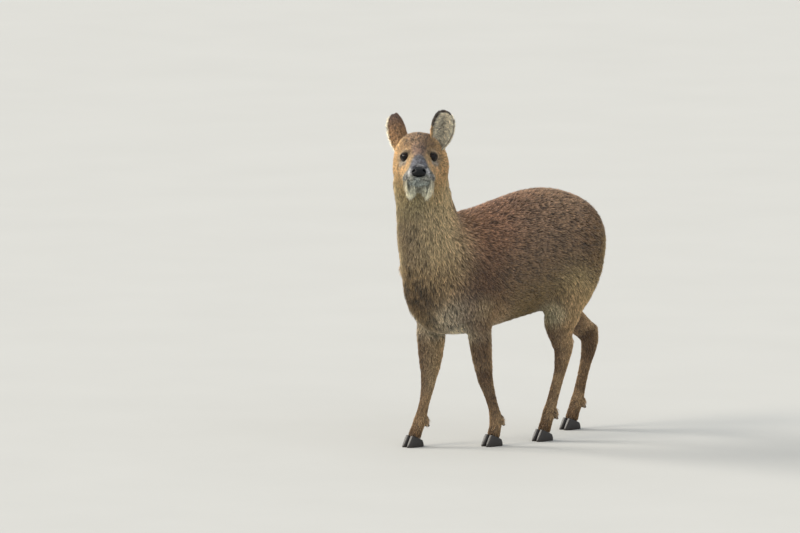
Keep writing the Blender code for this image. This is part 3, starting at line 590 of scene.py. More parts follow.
def eye_axes(side):
    """The eye's own axes as rows: outwards, to the outer corner, and up."""
    sign = 1 if side == "left" else -1
    out = np.array((EYE_FACES[0], sign * EYE_FACES[1], EYE_FACES[2]))
    out = out / np.linalg.norm(out) @ HEAD_AXES
    top = np.array((0, 0, 1.0)) @ HEAD_AXES
    corner = np.cross(top, out) * sign
    corner /= np.linalg.norm(corner)
    return np.array([out, corner, np.cross(out, corner) * sign])


def lid_edge(around):
    """How far the opening between the lids reaches from the eye's axis, in radians, all the way round."""
    around = around + LID_SLANT
    reach = 1 / np.hypot(np.cos(around) / LID_WIDE, np.sin(around) / LID_HIGH)
    return reach * (1 + 0.14 * np.abs(np.cos(around)) ** 12)


def lid_margin(places, reach=15):
    """How far each place within reach of an eye lies outside the opening of its lids, in radians."""
    beyond = np.full(len(places), 9.0)
    for side in EYES:
        away = places - EYES[side]
        near = np.linalg.norm(away, axis=1) < reach * MM
        out, corner, up = (away[near] @ eye_axes(side).T).T
        beyond[near] = np.arctan2(np.hypot(corner, up), out) - lid_edge(np.arctan2(up, corner))
    return beyond


def sink_eyes(thing):
    """Presses the skin round each eye in behind the lids, less and less away from the eye's middle."""
    places = points_of(thing)
    nearest = np.interp(lid_margin(places, SKIN_PRESSED), *zip(*SKIN_STAYS)) * MM
    edge = SKIN_PRESSED * MM
    for side in EYES:
        away = places - EYES[side]
        apart = np.linalg.norm(away, axis=1)
        near = (apart < edge) & (nearest < edge)
        share = ((apart - nearest) / (edge - nearest).clip(1e-6, None)).clip(0, 1)
        pressed = np.minimum(apart, nearest + (edge - nearest) * share ** 2.4)
        places[near] = EYES[side] + away[near] * (pressed / apart)[near, None]
    move_points(thing, places)


def round_eyes(places, run):
    """Turns the lie of the coat aside where it would run into an eye."""
    for side in EYES:
        away = places - EYES[side]
        apart = np.linalg.norm(away, axis=1, keepdims=True)
        away = away / apart
        into = -(run * away).sum(1, keepdims=True)
        aside = np.interp(apart / MM, COAT_PARTS, (1.15, 0))
        run = run + away * np.maximum(into, 0) * aside
    return unit(run)


sink_eyes(skin)
pick(skin)
bpy.ops.object.shade_smooth()
SKIN_POINTS = points_of(skin)
SKIN_NORMALS = normals_of(skin)
SKIN_FACES = triangles_of(skin)
skin_surface = BVHTree.FromPolygons(SKIN_POINTS.tolist(), SKIN_FACES.tolist())
print("skin:", len(SKIN_FACES), "triangles")

# %% [markdown]
# Every face of the skin belongs to one region, which is named for the nearest solid. Each region's hair
# becomes a piece or two of its own, so that no piece grows too large.

# %% Share the skin out among the regions
def region_of_faces():
    """For each face of the skin, the name of the nearest solid of flesh, and the face's middle."""
    corners, faces, owners = [], [], []
    for name in FLESH:
        start = sum(len(each) for each in corners)
        corners.append(points_of(nodes[name]))
        faces.append(triangles_of(nodes[name]) + start)
        owners += [name] * len(faces[-1])
    tree = BVHTree.FromPolygons(np.vstack(corners).tolist(), np.vstack(faces).tolist())
    centres = SKIN_POINTS[SKIN_FACES].mean(1)
    return np.array([owners[tree.find_nearest(centre)[2]] for centre in centres.tolist()]), centres


FACE_REGION, FACE_CENTRES = region_of_faces()
FACE_AREAS = 0.5 * np.linalg.norm(
    np.cross(SKIN_POINTS[SKIN_FACES[:, 1]] - SKIN_POINTS[SKIN_FACES[:, 0]],
             SKIN_POINTS[SKIN_FACES[:, 2]] - SKIN_POINTS[SKIN_FACES[:, 0]]), axis=1)
for name in FLESH:
    print(name, round(FACE_AREAS[FACE_REGION == name].sum() * 1e4), "square centimetres of skin")

# %% [markdown]
# ## The hair
#
# Hair is never drawn one by one here: a tuft stands for the ten or so hairs that cling together. Each is a
# closed, slender form with three sides that tapers to a point, leaves the skin at a slant and bends over
# until it lies along the coat. All tufts of a region are one mesh, filled from arrays, because a hundred
# thousand separate objects would choke any program. Each tuft also carries three values that its
# material reads: the tone of the coat at its root, how far along the hair a point is, and a number of
# its own, which makes some tufts paler and some darker.

# %% A piece of hair from arrays
# The side of a tuft's patch on the flat map, and where its three corners lie across it
PATCH = 0.003
CORNERS_ACROSS = (-0.5, 0.5, 0.0)
CORNER_PAIRS = ((0, 1), (1, 2), (2, 0))
# How high the ridge of a tuft stands over its two lower corners, as a share of its width
RIDGE = 0.45
VALUE_FIELDS = {"FLOAT_COLOR": "color", "FLOAT_VECTOR": "vector", "FLOAT": "value"}


def store(mesh, name, kind, values):
    """Stores a value with each point of a mesh, for a material to read."""
    layer = mesh.attributes.new(name, kind, "POINT")
    layer.data.foreach_set(VALUE_FIELDS[kind], np.asarray(values, np.float32).ravel())


def with_alpha(colours):
    """Colours with a fourth value of one."""
    return np.concatenate([colours, np.ones((len(colours), 1))], axis=1)


def tuft_faces(steps):
    """The triangles of a tuft with this many rings of three corners: its sides, its tip and its root."""
    faces = []
    for low in range(0, 3 * (steps - 1), 3):
        high = low + 3
        for here, following in CORNER_PAIRS:
            faces.append((low + here, low + following, high + following))
            faces.append((low + here, high + following, high + here))
    last = 3 * (steps - 1)
    faces += [(last + here, last + following, last + 3) for here, following in CORNER_PAIRS]
    faces.append((0, 2, 1))
    return np.array(faces)


def hair_mesh(name, rings, tips, tone, vary, roots_uv, levels):
    """One object from tufts: rings is (tuft, level, corner, xyz), and tips is (tuft, xyz)."""
    count, steps = rings.shape[:2]
    corners = steps * 3 + 1
    places = np.concatenate([rings.reshape(count, -1, 3), tips[:, None]], axis=1).reshape(-1, 3)
    pattern = tuft_faces(steps)
    index = (pattern[None] + (np.arange(count) * corners)[:, None, None]).reshape(-1, 3)
    mesh = bpy.data.meshes.new(name)
    mesh.vertices.add(len(places))
    mesh.vertices.foreach_set("co", places.astype(np.float32).ravel())
    mesh.loops.add(index.size)
    mesh.loops.foreach_set("vertex_index", index.astype(np.int32).ravel())
    mesh.polygons.add(len(index))
    mesh.polygons.foreach_set("loop_start", np.arange(0, index.size, 3, dtype=np.int32))
    mesh.update(calc_edges=True)
    mesh.polygons.foreach_set("use_smooth", np.ones(len(index), bool))
    spots = [(across, level) for level in levels for across in CORNERS_ACROSS] + [(0, 1)]
    patch = (np.array(spots) - (0, 0.5)) * PATCH
    uvs = roots_uv[:, None, None, :] + patch[pattern][None]
    mesh.uv_layers.new(name="OFBake").data.foreach_set("uv", uvs.astype(np.float32).ravel())
    store(mesh, "tone", "FLOAT_COLOR", np.repeat(with_alpha(tone), corners, axis=0))
    store(mesh, "along", "FLOAT", np.tile([level for _, level in spots], count))
    store(mesh, "vary", "FLOAT", np.repeat(vary, corners))
    made = bpy.data.objects.new(name, mesh)
    bpy.context.scene.collection.objects.link(made)
    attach(made, "root")
    print(f"{name}: {count} tufts, {len(index)} triangles")
    return made


# %% [markdown]
# A tuft is drawn from its root by two directions: the one in which it leaves the skin, and the one along
# which it ends. A parabola between them gives the bend of springy hair. Each ring has two corners at the
# sides and a third on top as the ridge, which catches the light as a real lock of hairs does.

# %% The shape of one tuft
def tufts(name, roots, normals, starts, ends, lengths, widths, tone, vary, roots_uv, levels=(0, 0.5),
          shape=(0.8, 1.0), curl=0.0, sunk=1.0, slot="coat"):
    """Grows a tuft at each root that leaves it along starts and bends to run along ends.

    The levels are the places of its rings along it, and the shape is how wide each ring is. Curl bends it
    sideways as a share of its length, and sunk is how deep its root sits in the skin, in millimetres.
    """
    across = np.cross(normals, ends)
    weak = np.linalg.norm(across, axis=1) < 0.25
    across[weak] = np.cross(HEAD_AXES[0][None], ends[weak])
    across = unit(across)
    lengths, widths = lengths[:, None], widths[:, None]
    aside = across * np.broadcast_to(curl, len(roots))[:, None] * lengths
    rings = []
    for t, wide in zip(levels, shape):
        centre = roots + lengths * (starts * (t - t * t / 2) + ends * (t * t / 2))
        centre = centre - starts * (sunk * MM * (1 - t) ** 4) + aside * t * t
        over = np.cross(unit(starts * (1 - t) + ends * t), across)
        half = across * (widths * wide / 2)
        ridge = over * (widths * wide * RIDGE)
        rings.append(np.stack([centre - half, centre + half, centre + ridge], axis=1))
    tips = roots + lengths * (starts + ends) / 2 + aside
    return hair_mesh(name, np.stack(rings, axis=1), tips, tone, vary, roots_uv, levels)


# %% [markdown]
# Roots are strewn over the skin: so many for each square millimetre, at random places on its faces, from
# a seeded generator so that every run grows the same coat. An unwrap of the region's skin gives each
# root its place on the flat map that a baked texture uses.

# %% Strew roots over faces of the skin
draw = np.random.default_rng(20)


def unwrap(faces):
    """The corners of these faces of the skin on an unwrap of their own: (face, corner, uv)."""
    used, index = np.unique(faces, return_inverse=True)
    mesh = bpy.data.meshes.new("unwrap")
    mesh.from_pydata(SKIN_POINTS[used].tolist(), [], index.reshape(-1, 3).tolist())
    flat = bpy.data.objects.new("unwrap", mesh)
    bpy.context.scene.collection.objects.link(flat)
    whole_mesh(flat, bpy.ops.uv.smart_project, angle_limit=math.radians(70), island_margin=0.004)
    found = np.zeros(len(mesh.loops) * 2, np.float32)
    mesh.uv_layers.active.data.foreach_get("uv", found)
    bpy.data.objects.remove(flat)
    bpy.data.meshes.remove(mesh)
    return found.reshape(-1, 3, 2).astype(float)


def strew(chosen, spacing):
    """Roots on the chosen faces, one for each square of the spacing: place, normal and unwrapped place."""
    faces = SKIN_FACES[chosen]
    flat = unwrap(faces)
    wanted = FACE_AREAS[chosen] / (np.asarray(spacing) * MM) ** 2
    number = np.floor(wanted + draw.random(len(faces))).astype(int)
    owner = np.repeat(np.arange(len(faces)), number)
    a, b = draw.random((2, len(owner)))
    over = a + b > 1
    a[over], b[over] = 1 - a[over], 1 - b[over]
    share = np.stack([1 - a - b, a, b], axis=1)[:, :, None]
    places = (SKIN_POINTS[faces[owner]] * share).sum(1)
    normals = unit((SKIN_NORMALS[faces[owner]] * share).sum(1))
    return places, normals, (flat[owner] * share).sum(1)


# %% [markdown]
# Hair doesn't lie like combed wool on a table. Neighbours lean together, the lie wanders a little, and on
# the back the coat breaks into low ripples across the body. A smooth noise bends the lie, a little
# chance is added for each tuft, and the ripples make every second band of tufts stand a little higher.

# %% Grow a region's coat
# The lie strays by these radians, smoothly over this many millimetres, and by chance from tuft to tuft
STRAYS = 0.16
STRAY_WAVES = 26
STRAY_CHANCE = 0.15
# In millimetres: how far tufts lean together, the grain of the flecks and of the slower change in them,
# and the ripples on the back with the waves in which they meander
CLUMPS = 9
FLECKS = 4.4
PATCHES = 12
RIPPLES = 7.5
MEANDERS = 34
# How far a tuft's tip stays clear of the lids' opening before it is cut short, and what is left of it
LID_CLEAR = 0.12
CUT_SHORT = 0.55


def wander(places, size, seed):
    """A smooth random value for each place, from about -1 to 1, whose waves are this many millimetres."""
    scale = 1 / (size * MM)
    return np.array([noise.noise((x * scale + seed, y * scale, z * scale)) for x, y, z in places.tolist()])


def chance(count):
    """A random value for each tuft, mostly within one of zero and never beyond two."""
    return draw.standard_normal(count).clip(-2, 2)


def coat(name, chosen, spacing, grain, ripple=0.0):
    """Grows the coat on the chosen faces of the skin as one piece, flecked in grains of this shape."""
    roots, normals, flat = strew(chosen, spacing)
    count = len(roots)
    lie, sizes, tone, flecks = coat_at(roots)
    depth, length, width = sizes.T

    # The way it runs, along the skin and round the eyes
    turned = STRAYS * wander(roots, STRAY_WAVES, 3) + STRAY_CHANCE * draw.standard_normal(count)
    run = unit(lie - normals * (lie * normals).sum(1, keepdims=True))
    side = np.cross(normals, run)
    run = round_eyes(roots, unit(run + side * turned[:, None]))

    # Its length, and the height of its tip, which give the slants at which it leaves and ends
    length = length * (1 + 0.14 * chance(count))
    reached = roots + run * length[:, None]
    clump = wander(reached, CLUMPS, 11)
    meander = 0.011 * wander(reached, MEANDERS, 5)
    wave = np.sin((reached[:, 0] + meander) / (RIPPLES * MM) * 2 * math.pi) * ripple
    height = depth * (0.92 + 0.22 * clump + 0.18 * wave + 0.12 * chance(count))
    slope = np.arcsin((height / length).clip(0.03, 0.8))[:, None]
    leave = np.minimum(1.75 * slope, 1.25)
    settle = 2 * slope - leave
    starts = run * np.cos(leave) + normals * np.sin(leave)
    ends = run * np.cos(settle) + normals * np.sin(settle)

    # How pale it is among its neighbours
    patchy = 1.25 * wander(reached * grain, FLECKS, 29) + 0.35 * wander(reached, PATCHES, 17)
    vary = 0.5 + 0.5 * np.tanh(flecks * (patchy + 0.22 * wave + 0.15 * draw.standard_normal(count)))
    width = width * draw.uniform(0.8, 1.2, count)

    # Near an eye it is cut short, and in the opening of the lids none grows
    halfway = (starts + ends) / 2
    cut = lid_margin(roots + halfway * length[:, None]) < LID_CLEAR
    length = np.where(cut, CUT_SHORT * length, length)
    bare = (lid_margin(roots) < 0.6) | (lid_margin(roots + halfway * length[:, None]) < 0.05)
    grown = [each[~bare] for each in (roots, normals, starts, ends, length, width, tone, vary, flat)]
    return tufts(name, *grown, curl=0.1 * draw.standard_normal(len(grown[0])))


# %% [markdown]
# The regions grow one after another. The trunk has four pieces and the neck two, and each leg has one. The
# face has the smallest and closest tufts, and behind the ears they grow longer again.

# %% The coat of trunk, neck, tail, legs and head
# The spacing of the tufts in millimetres, and how much finer the flecks are along x, y and z
TRUNK_SPACING, TRUNK_GRAIN = 2.22, (1.75, 0.9, 0.9)
NECK_SPACING, NECK_GRAIN = 2.15, (2.1, 2.1, 0.6)
LEG_SPACING, LEG_GRAIN = {"upper": 2.35, "lower": 2.1}, (1.8, 1.8, 0.7)
# On the head the spacing goes with the way forward from between the eyes
HEAD_SPACING, HEAD_GRAIN = ((-70, 2.2), (-20, 1.75), (30, 1.4), (70, 1.2)), (1.5, 1.5, 1.5)
MUZZLE_FROM = 12
TRUNK_MIDDLE = -30

coat_pieces = []
trunk_faces = np.isin(FACE_REGION, ["torso", "tail"])
left_faces = FACE_CENTRES[:, 1] > BODY_ORIGIN[1]
front_faces = FACE_CENTRES[:, 0] > TRUNK_MIDDLE * MM
QUARTERS = {
    "coat_fore_left": front_faces & left_faces,
    "coat_fore_right": front_faces & ~left_faces,
    "coat_hind_left": ~front_faces & left_faces,
    "coat_hind_right": ~front_faces & ~left_faces,
}
for name, quarter in QUARTERS.items():
    coat_pieces.append(coat(name, trunk_faces & quarter, TRUNK_SPACING, TRUNK_GRAIN, ripple=1.0))
neck_faces = FACE_REGION == "neck"
for name, half in (("coat_neck_left", left_faces), ("coat_neck_right", ~left_faces)):
    coat_pieces.append(coat(name, neck_faces & half, NECK_SPACING, NECK_GRAIN))
for leg in LEG_LINES:
    upper, lower = (FACE_REGION == f"{leg}_{end}" for end in LEG_SPACING)
    leg_spacing = np.where(lower, LEG_SPACING["lower"], LEG_SPACING["upper"])[upper | lower]
    coat_pieces.append(coat("coat_" + leg, upper | lower, leg_spacing, LEG_GRAIN))

head_faces = np.flatnonzero(FACE_REGION == "head")
head_forward = from_head(FACE_CENTRES[head_faces])[:, 0]
head_spacing = np.interp(head_forward, *zip(*HEAD_SPACING))
on_muzzle = head_forward > MUZZLE_FROM
for name, part in (("coat_head", ~on_muzzle), ("coat_face", on_muzzle)):
    coat_pieces.append(coat(name, head_faces[part], head_spacing[part], HEAD_GRAIN))

# %% [markdown]
# Behind each fetlock two small claws hang clear of the ground. On the animal their roots are lost in a
# brush of longer hair that grows down over them, so these tufts aim from the skin around each dew claw at
# its middle.

# %% The hair over the dew claws
# In millimetres: where the brush grows from each dew claw's middle, how far round, and its spacing
FETLOCK_ABOVE = (6, 0, 9)
FETLOCK_REACH = 12
FETLOCK_SPACING = 1.25


def fetlock_hair():
    """Longer hair on the back of each fetlock, that hangs over the roots of the dew claws."""
    claws = np.array([middle(f"dewclaw_{leg}_{end}") for leg in LEG_LINES for end in ("inner", "outer")])
    above = claws + np.array(FETLOCK_ABOVE) * MM
    apart = np.linalg.norm(FACE_CENTRES[:, None] - above[None], axis=2).min(1)
    roots, normals, flat = strew(np.flatnonzero(apart < FETLOCK_REACH * MM), FETLOCK_SPACING)
    nearest = np.linalg.norm(roots[:, None] - above[None], axis=2).argmin(1)
    count = len(roots)
    way = claws[nearest] + np.array((-4, 0, -2)) * MM - roots
    run = unit(unit(way) + 0.16 * draw.standard_normal((count, 3)))
    lengths = np.linalg.norm(way, axis=1).clip(7 * MM, 17 * MM) * draw.uniform(0.7, 1.05, count)
    starts = unit(run + 0.55 * normals)
    ends = unit(run + np.array((0, 0, -0.35)))
    vary = (0.45 + 0.5 * wander(roots, 4, 19) + 0.15 * draw.standard_normal(count)).clip(0, 1)
    widths = draw.uniform(0.9, 1.3, count) * MM
    tone = coat_at(roots)[2] * 0.8
    return tufts("coat_fetlocks", roots, normals, starts, ends, lengths, widths, tone, vary, flat,
                 curl=0.1 * draw.standard_normal(count))


coat_pieces.append(fetlock_hair())

# %% [markdown]
# ## The pale fringe of the jaw
#
# A water deer's chin and the sides of its mouth carry long, whitish, untidy hairs that hang free. They are
# the same tufts, three times as long, that leave the jaw outwards and then hang.

# %% The hanging strands
FRINGE_SPACING = 1.7
# In millimetres: how long the strands are under the chin's middle and at its sides, and by their place
# along the jaw the share of that which they reach
FRINGE_LONG = (12, 35)
FRINGE_ALONG = ((40, 0.4), (56, 0.9), (84, 1.0), (98, 0.6))


def fringe():
    """Long pale strands from the jaw's edge and underside, that lean together into two loose locks."""
    forward, left, up = from_head(FACE_CENTRES).T
    side_band = (forward > 40) & (forward < 92) & (up < -47) & (up > -64) & (np.abs(left) > 16)
    under = (forward > 40) & (forward < 98) & (up <= -60)
    chosen = np.flatnonzero((FACE_REGION == "head") & (side_band | under))
    roots, normals, flat = strew(chosen, FRINGE_SPACING)
    thick = draw.random(len(roots)) > 0.5 * (np.abs(from_head(roots)[:, 1]) > 29)
    roots, normals, flat = roots[thick], normals[thick], flat[thick]
    forward, left, up = from_head(roots).T
    aside = np.abs(left)
    count = len(roots)

    # How long each strand is, and how it leans inwards while it hangs
    edge = np.clip((aside - 4) / 16, 0, 1)
    longest = np.interp(edge, (0, 1), FRINGE_LONG) * np.interp(forward, *zip(*FRINGE_ALONG))
    lengths = longest * (1 + 0.4 * wander(roots, 8, 41)) * draw.uniform(0.65, 1.1, count) * MM
    inwards = -np.sign(left) * np.interp(aside, (5, 20, 36), (0.0, 0.25, 0.68))
    bent = 0.22 * wander(roots, 7, 13) + 0.07 * draw.standard_normal(count)
    hang = np.stack([-0.22 + 0.2 * wander(roots, 7, 23), inwards + bent, -np.ones(count)], axis=1)
    hang = unit(hang @ HEAD_AXES)
    ahead = np.array([0.3, 0, 0]) @ HEAD_AXES
    starts = unit(normals * 0.6 + hang * 0.9 + ahead)

    # Grey under the chin, whitish at its sides, and buff where it meets the cheek
    buff = np.interp(aside, (22, 36), (0, 0.75))[:, None]
    tone = linear(TONES["fringe"][0]) * np.interp(edge, (0, 0.6, 1), (0.4, 0.85, 0.95))[:, None]
    tone = tone * (1 - buff) + linear(TONES["cheek_low"][0]) * buff
    vary = (0.45 + 0.38 * wander(roots * (1, 1, 0.4), 3.6, 7) + 0.1 * draw.standard_normal(count)).clip(0, 1)
    widths = draw.uniform(0.8, 1.3, count) * MM
    return tufts("coat_fringe", roots, normals, starts, hang, lengths, widths, tone, vary, flat,
                 (0, 0.42, 0.78), (0.8, 1.0, 0.6), 0.1 * draw.standard_normal(count))


coat_pieces.append(fringe())

# %% [markdown]
# ## Sheets shaped point by point
#
# The ears, lids and lips are all sheets that bend in a way that a rule describes. Each starts as a grid
# primitive with the right number of rows, whose points are then put where the rule says. A sheet that
# closes on itself has its seam merged.

# %% A sheet from a grid
def sheet(name, rows, closed=False):
    """A grid primitive whose points are put at rows of places, with its seam merged where it is closed."""
    rows = np.asarray(rows, float)
    across, along = rows.shape[1] - 1, rows.shape[0] - 1
    bpy.ops.object.select_all(action="DESELECT")
    bpy.ops.mesh.primitive_grid_add(x_subdivisions=across, y_subdivisions=along, size=1, location=(0, 0, 0))
    made = bpy.context.view_layer.objects.active
    made.name = name
    flat = points_of(made)
    column = np.rint((flat[:, 0] + 0.5) * across).astype(int)
    row = np.rint((flat[:, 1] + 0.5) * along).astype(int)
    move_points(made, rows[row, column])
    if closed:
        whole_mesh(made, bpy.ops.mesh.remove_doubles, threshold=MERGED)
    bpy.ops.object.shade_smooth()
    return made


def outwards(thing, inside):
    """Turns an open sheet over if most of it faces the point inside."""
    facing = ((points_of(thing) - np.asarray(inside)) * normals_of(thing)).sum()
    if facing < 0:
        whole_mesh(thing, bpy.ops.mesh.flip_normals)


# %% [markdown]
# ## Ears
#
# An ear is a leaf of thin skin rolled round its root: nearly a tube at the foot and open like a spoon above.
# The same few widths and curls that shaped the solid shape this one, on a finer grid. Its back has short
# brown hair that runs to the tip, and its hollow has long pale hair that grows in from both edges.

# %% The leaf of an ear
# Along the ear: how far, half its width round the curl, and how far it curls, in radians
EAR = (
    (-0.10, 25, 5.0), (0.00, 27, 4.7), (0.12, 30.5, 4.0), (0.25, 32.5, 3.3), (0.40, 33, 2.7), (0.55, 32, 2.3),
    (0.70, 29.5, 2.0), (0.82, 25, 1.85), (0.92, 18, 1.7), (0.98, 9.5, 1.6), (1.00, 4, 1.6),
)
EAR_LENGTH = 90
# Each ear: its root, the way it points and the way it opens, in the head's axes
EARS = {
    "left": ((-46, 32, 14), (-0.12, 0.29, 0.95), (0.93, 0.35, 0.05)),
    "right": ((-42, -25, 16), (-0.42, -0.27, 0.866), (-0.74, -0.65, 0.0)),
}


def leaf(side, s, t):
    """Places on the middle of the ear's leaf, s along it and t across it from -1 to 1."""
    root, points, opens = (np.array(value, float) for value in EARS[side])
    along = unit(points @ HEAD_AXES)
    opening = opens @ HEAD_AXES
    opening = unit(opening - along * (opening @ along))
    beside = np.cross(opening, along)
    stations, halves, curls = zip(*EAR)
    half = np.interp(s, stations, halves) * MM
    curl = np.interp(s, stations, curls)
    radius = 2 * half / curl
    angle = curl * t / 2
    spine = in_head(root) + along * (EAR_LENGTH * MM * s)[..., None]
    return (spine + opening * (radius * (1 - np.cos(angle)))[..., None]
            + beside * (radius * np.sin(angle))[..., None])


def leaf_frame(side, s, t):
    """Places, outward normals and the way to the tip, for points of the ear's leaf."""
    step = 0.004
    here = leaf(side, s, t)
    to_tip = unit(leaf(side, s + step, t) - leaf(side, s - step, t))
    to_edge = unit(leaf(side, s, t + step) - leaf(side, s, t - step))
    back = unit(np.cross(to_edge, to_tip))
    opening = np.array(EARS[side][2], float) @ HEAD_AXES
    if np.median(back @ opening) > 0:
        back = -back
    return here, back, to_tip


def ear_leaf(side):
    """The ear's skin as a thin closed leaf."""
    s, t = np.meshgrid(np.linspace(-0.10, 1, 45), np.linspace(-1, 1, 33), indexing="ij")
    made = sheet("ear_skin_" + side, leaf(side, s, t))
    finish_with(made, "SOLIDIFY", thickness=1.5 * MM, offset=0)
    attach(made, "root")
    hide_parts("ear_" + side)
    return made


ear_skins = [ear_leaf(side) for side in EARS]
print("ears:", [len(piece.data.polygons) for piece in ear_skins], "faces")

# %% [markdown]
# Three kinds of hair grow on an ear, and all three are strewn over the leaf by its own two measures: short
# hair on the back, which darkens to the tip, a pale rim with a dark edge near the tip, and long pale hair
# that stands in the hollow.

# %% The hair of the ears
EAR_TONES = {"back": "#a67f56", "tip": "#6c5246", "rim": "#e9e0c6", "dark": "#2c221b", "inside": "#e2d5b9"}
BACK, RIM, HOLLOW = 0, 1, 2
# For each of these: number of tufts, nearest and farthest from the middle line as a share of the half width,
# slant, and length and width in millimetres
EAR_HAIR = ((3500, 0, 1, 0.35, 7, 1.0), (1700, 0.88, 1, 0.2, 7.5, 0.8), (1500, 0.2, 0.97, 0.45, 14, 0.7))


def ear_uv(s, t, inside):
    """Places on a flat map of the leaf: its back on the left half and its hollow on the right."""
    return np.stack([0.02 + 0.46 * (t + 1) / 2 + 0.5 * inside, 0.02 + 0.94 * s.clip(0, 1)], axis=1)


def ear_hair(side):
    """Short hair on the ear's back and rim, and long pale hair in its hollow."""
    kind = np.repeat([BACK, RIM, HOLLOW], [row[0] for row in EAR_HAIR])
    nearest, farthest, slant, length, width = np.array([row[1:] for row in EAR_HAIR])[kind].T
    count = len(kind)
    s = np.where(kind == HOLLOW, 0.05 + 0.87 * draw.random(count), draw.random(count) ** 0.9)
    t = np.sign(draw.random(count) - 0.5) * draw.uniform(nearest, farthest)
    here, back, to_tip = leaf_frame(side, s, t)
    inside = (kind == HOLLOW) | ((kind == RIM) & (draw.random(count) < 0.5))
    face = np.where(inside[:, None], -back, back)
    outward = unit(leaf(side, s, t * 1.02) - leaf(side, s, t * 0.98))

    # The way it lies: to the tip on the back, and outwards and down into the hollow inside
    stray = draw.standard_normal((count, 3)) * 0.12
    leans = (to_tip, to_tip + 0.55 * outward, 0.8 * to_tip - 0.75 * outward - 0.25 * back + 0.5 * stray)
    lie = unit(np.choose(np.where(inside, HOLLOW, kind)[:, None], leans) + stray)
    starts = unit(lie + face * slant[:, None] * 1.6)
    ends = unit(lie + face * np.where(kind == HOLLOW, 0.25, 0.02)[:, None])
    lengths = length * draw.uniform(0.7, 1.2, count) * MM
    lengths = lengths * np.interp(s, (0, 0.1, 0.85, 1), (1.6, 1.1, 0.9, 0.55))

    # Its tone: like the cheek at the foot, darker to the tip, pale on the rim, dark along the rim's end
    foot = np.interp(s, (0, 0.28), (1, 0))[:, None]
    tip = np.interp(s, (0.45, 0.95), (0, 1))[:, None]
    at_root = linear(TONES["ear_root"][0])
    tone = linear(EAR_TONES["back"]) * (1 - tip) + linear(EAR_TONES["tip"]) * tip
    tone = tone * (1 - foot) + at_root * foot
    tone[kind == RIM] = linear(EAR_TONES["rim"])
    tone[(kind == RIM) & (t > 0)] = at_root
    tone[(kind == RIM) & ((s > 0.93) | ((t > 0) & (s > 0.5)))] = linear(EAR_TONES["dark"])
    from_middle = np.hypot((s - 0.62) / 0.3, (np.abs(t) - 0.1) / 0.5)
    shaded = np.interp(from_middle, (0.2, 1), (0.6, 1))[:, None]
    tone[kind == HOLLOW] = (linear(EAR_TONES["inside"]) * shaded)[kind == HOLLOW]
    grains = 0.5 + 0.45 * wander(here, 4, 31) + 0.2 * draw.standard_normal(count)
    widths = width * draw.uniform(0.8, 1.2, count) * MM
    return tufts("coat_ear_" + side, here + face * 0.6 * MM, face, starts, ends, lengths, widths, tone,
                 grains.clip(0.05, 1), ear_uv(s, t, inside), curl=0.1 * draw.standard_normal(count), sunk=0.5,
                 slot="ear")


coat_pieces += [ear_hair(side) for side in EARS]

# %% [markdown]
# ## Eyes and lids
#
# The eye of a deer is a large dark globe with a lying oval pupil, set so that only its front shows
# between two lids with bare, nearly black edges. A sphere alone looks like a bead, so the globe is drawn
# out in front into a cornea. Its colour is read from a place on the eye that is stored with its points.

# %% The globes
def eyeball(side):
    """A globe with a raised cornea, that remembers each point's place as seen from straight ahead."""
    bpy.ops.object.select_all(action="DESELECT")
    radius = EYE_RADIUS * MM
    bpy.ops.mesh.primitive_uv_sphere_add(segments=48, ring_count=32, radius=radius, location=(0, 0, 0))
    made = bpy.context.view_layer.objects.active
    made.name = "eyeball_" + side
    local = points_of(made)
    lift = 1 + 0.09 * np.clip((local[:, 2] / radius - 0.72) / 0.28, 0, 1) ** 0.8
    corner, up, out = (local * lift[:, None]).T
    move_points(made, EYES[side] + np.stack([out, corner, up], axis=1) @ eye_axes(side))
    store(made.data, "eye_place", "FLOAT_VECTOR", np.stack([corner, up, out], axis=1) / radius)
    whole_mesh(made, bpy.ops.mesh.normals_make_consistent, inside=False)
    bpy.ops.object.shade_smooth()
    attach(made, "root")
    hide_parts("eye_" + side)
    return made


eyeballs = [eyeball(side) for side in EYES]
print("eyes:", [len(piece.data.polygons) for piece in eyeballs], "faces")

# %% [markdown]
# A lid is a soft roll that rests on the globe and runs out under the coat. Its section is the same all the
# way round and is swept along the edge of the opening, and its last three rows are laid onto the skin, so
# that no gap is left between them.

# %% The lids
def lids(side):
    """A ring of lid round the eye, from its bare edge to where it goes under the coat."""
    axes = eye_axes(side)
    around = np.linspace(0, 2 * math.pi, 73)
    opening = lid_edge(around)
    rows = []
    for more, height in LID_SECTION:
        tilt = opening + more
        radius = (EYE_RADIUS + height) * MM
        out = np.cos(tilt) * radius
        corner = np.sin(tilt) * np.cos(around) * radius
        up = np.sin(tilt) * np.sin(around) * radius
        rows.append(EYES[side] + np.stack([out, corner, up], axis=1) @ axes)
    for back, sink in ((0.8, 0.5), (2.6, -0.2), (4.6, -1.0)):
        grown = []
        last, before = rows[-1], rows[-2]
        for place, way in zip(last, unit(last - before)):
            near, normal, *_ = skin_surface.find_nearest(place + way * back * MM)
            grown.append(np.array(near) + np.array(normal) * sink * MM)
        rows.append(np.array(grown))
    made = sheet("lids_" + side, rows, closed=True)
    outwards(made, EYES[side])
    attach(made, "root")
    return made


lid_pieces = [lids(side) for side in EYES]
print("lids:", [len(piece.data.polygons) for piece in lid_pieces], "faces")

# %% [markdown]
# Only the very edge of a lid is bare. The rest has the shortest hair on the animal, 3 mm long, dark by the
# edge and darkest in the corner by the nose. Its roots are set on the lids' own section.

# %% The hair of the lids
LID_TUFTS = 430
LID_HAIR_LONG = 3.3


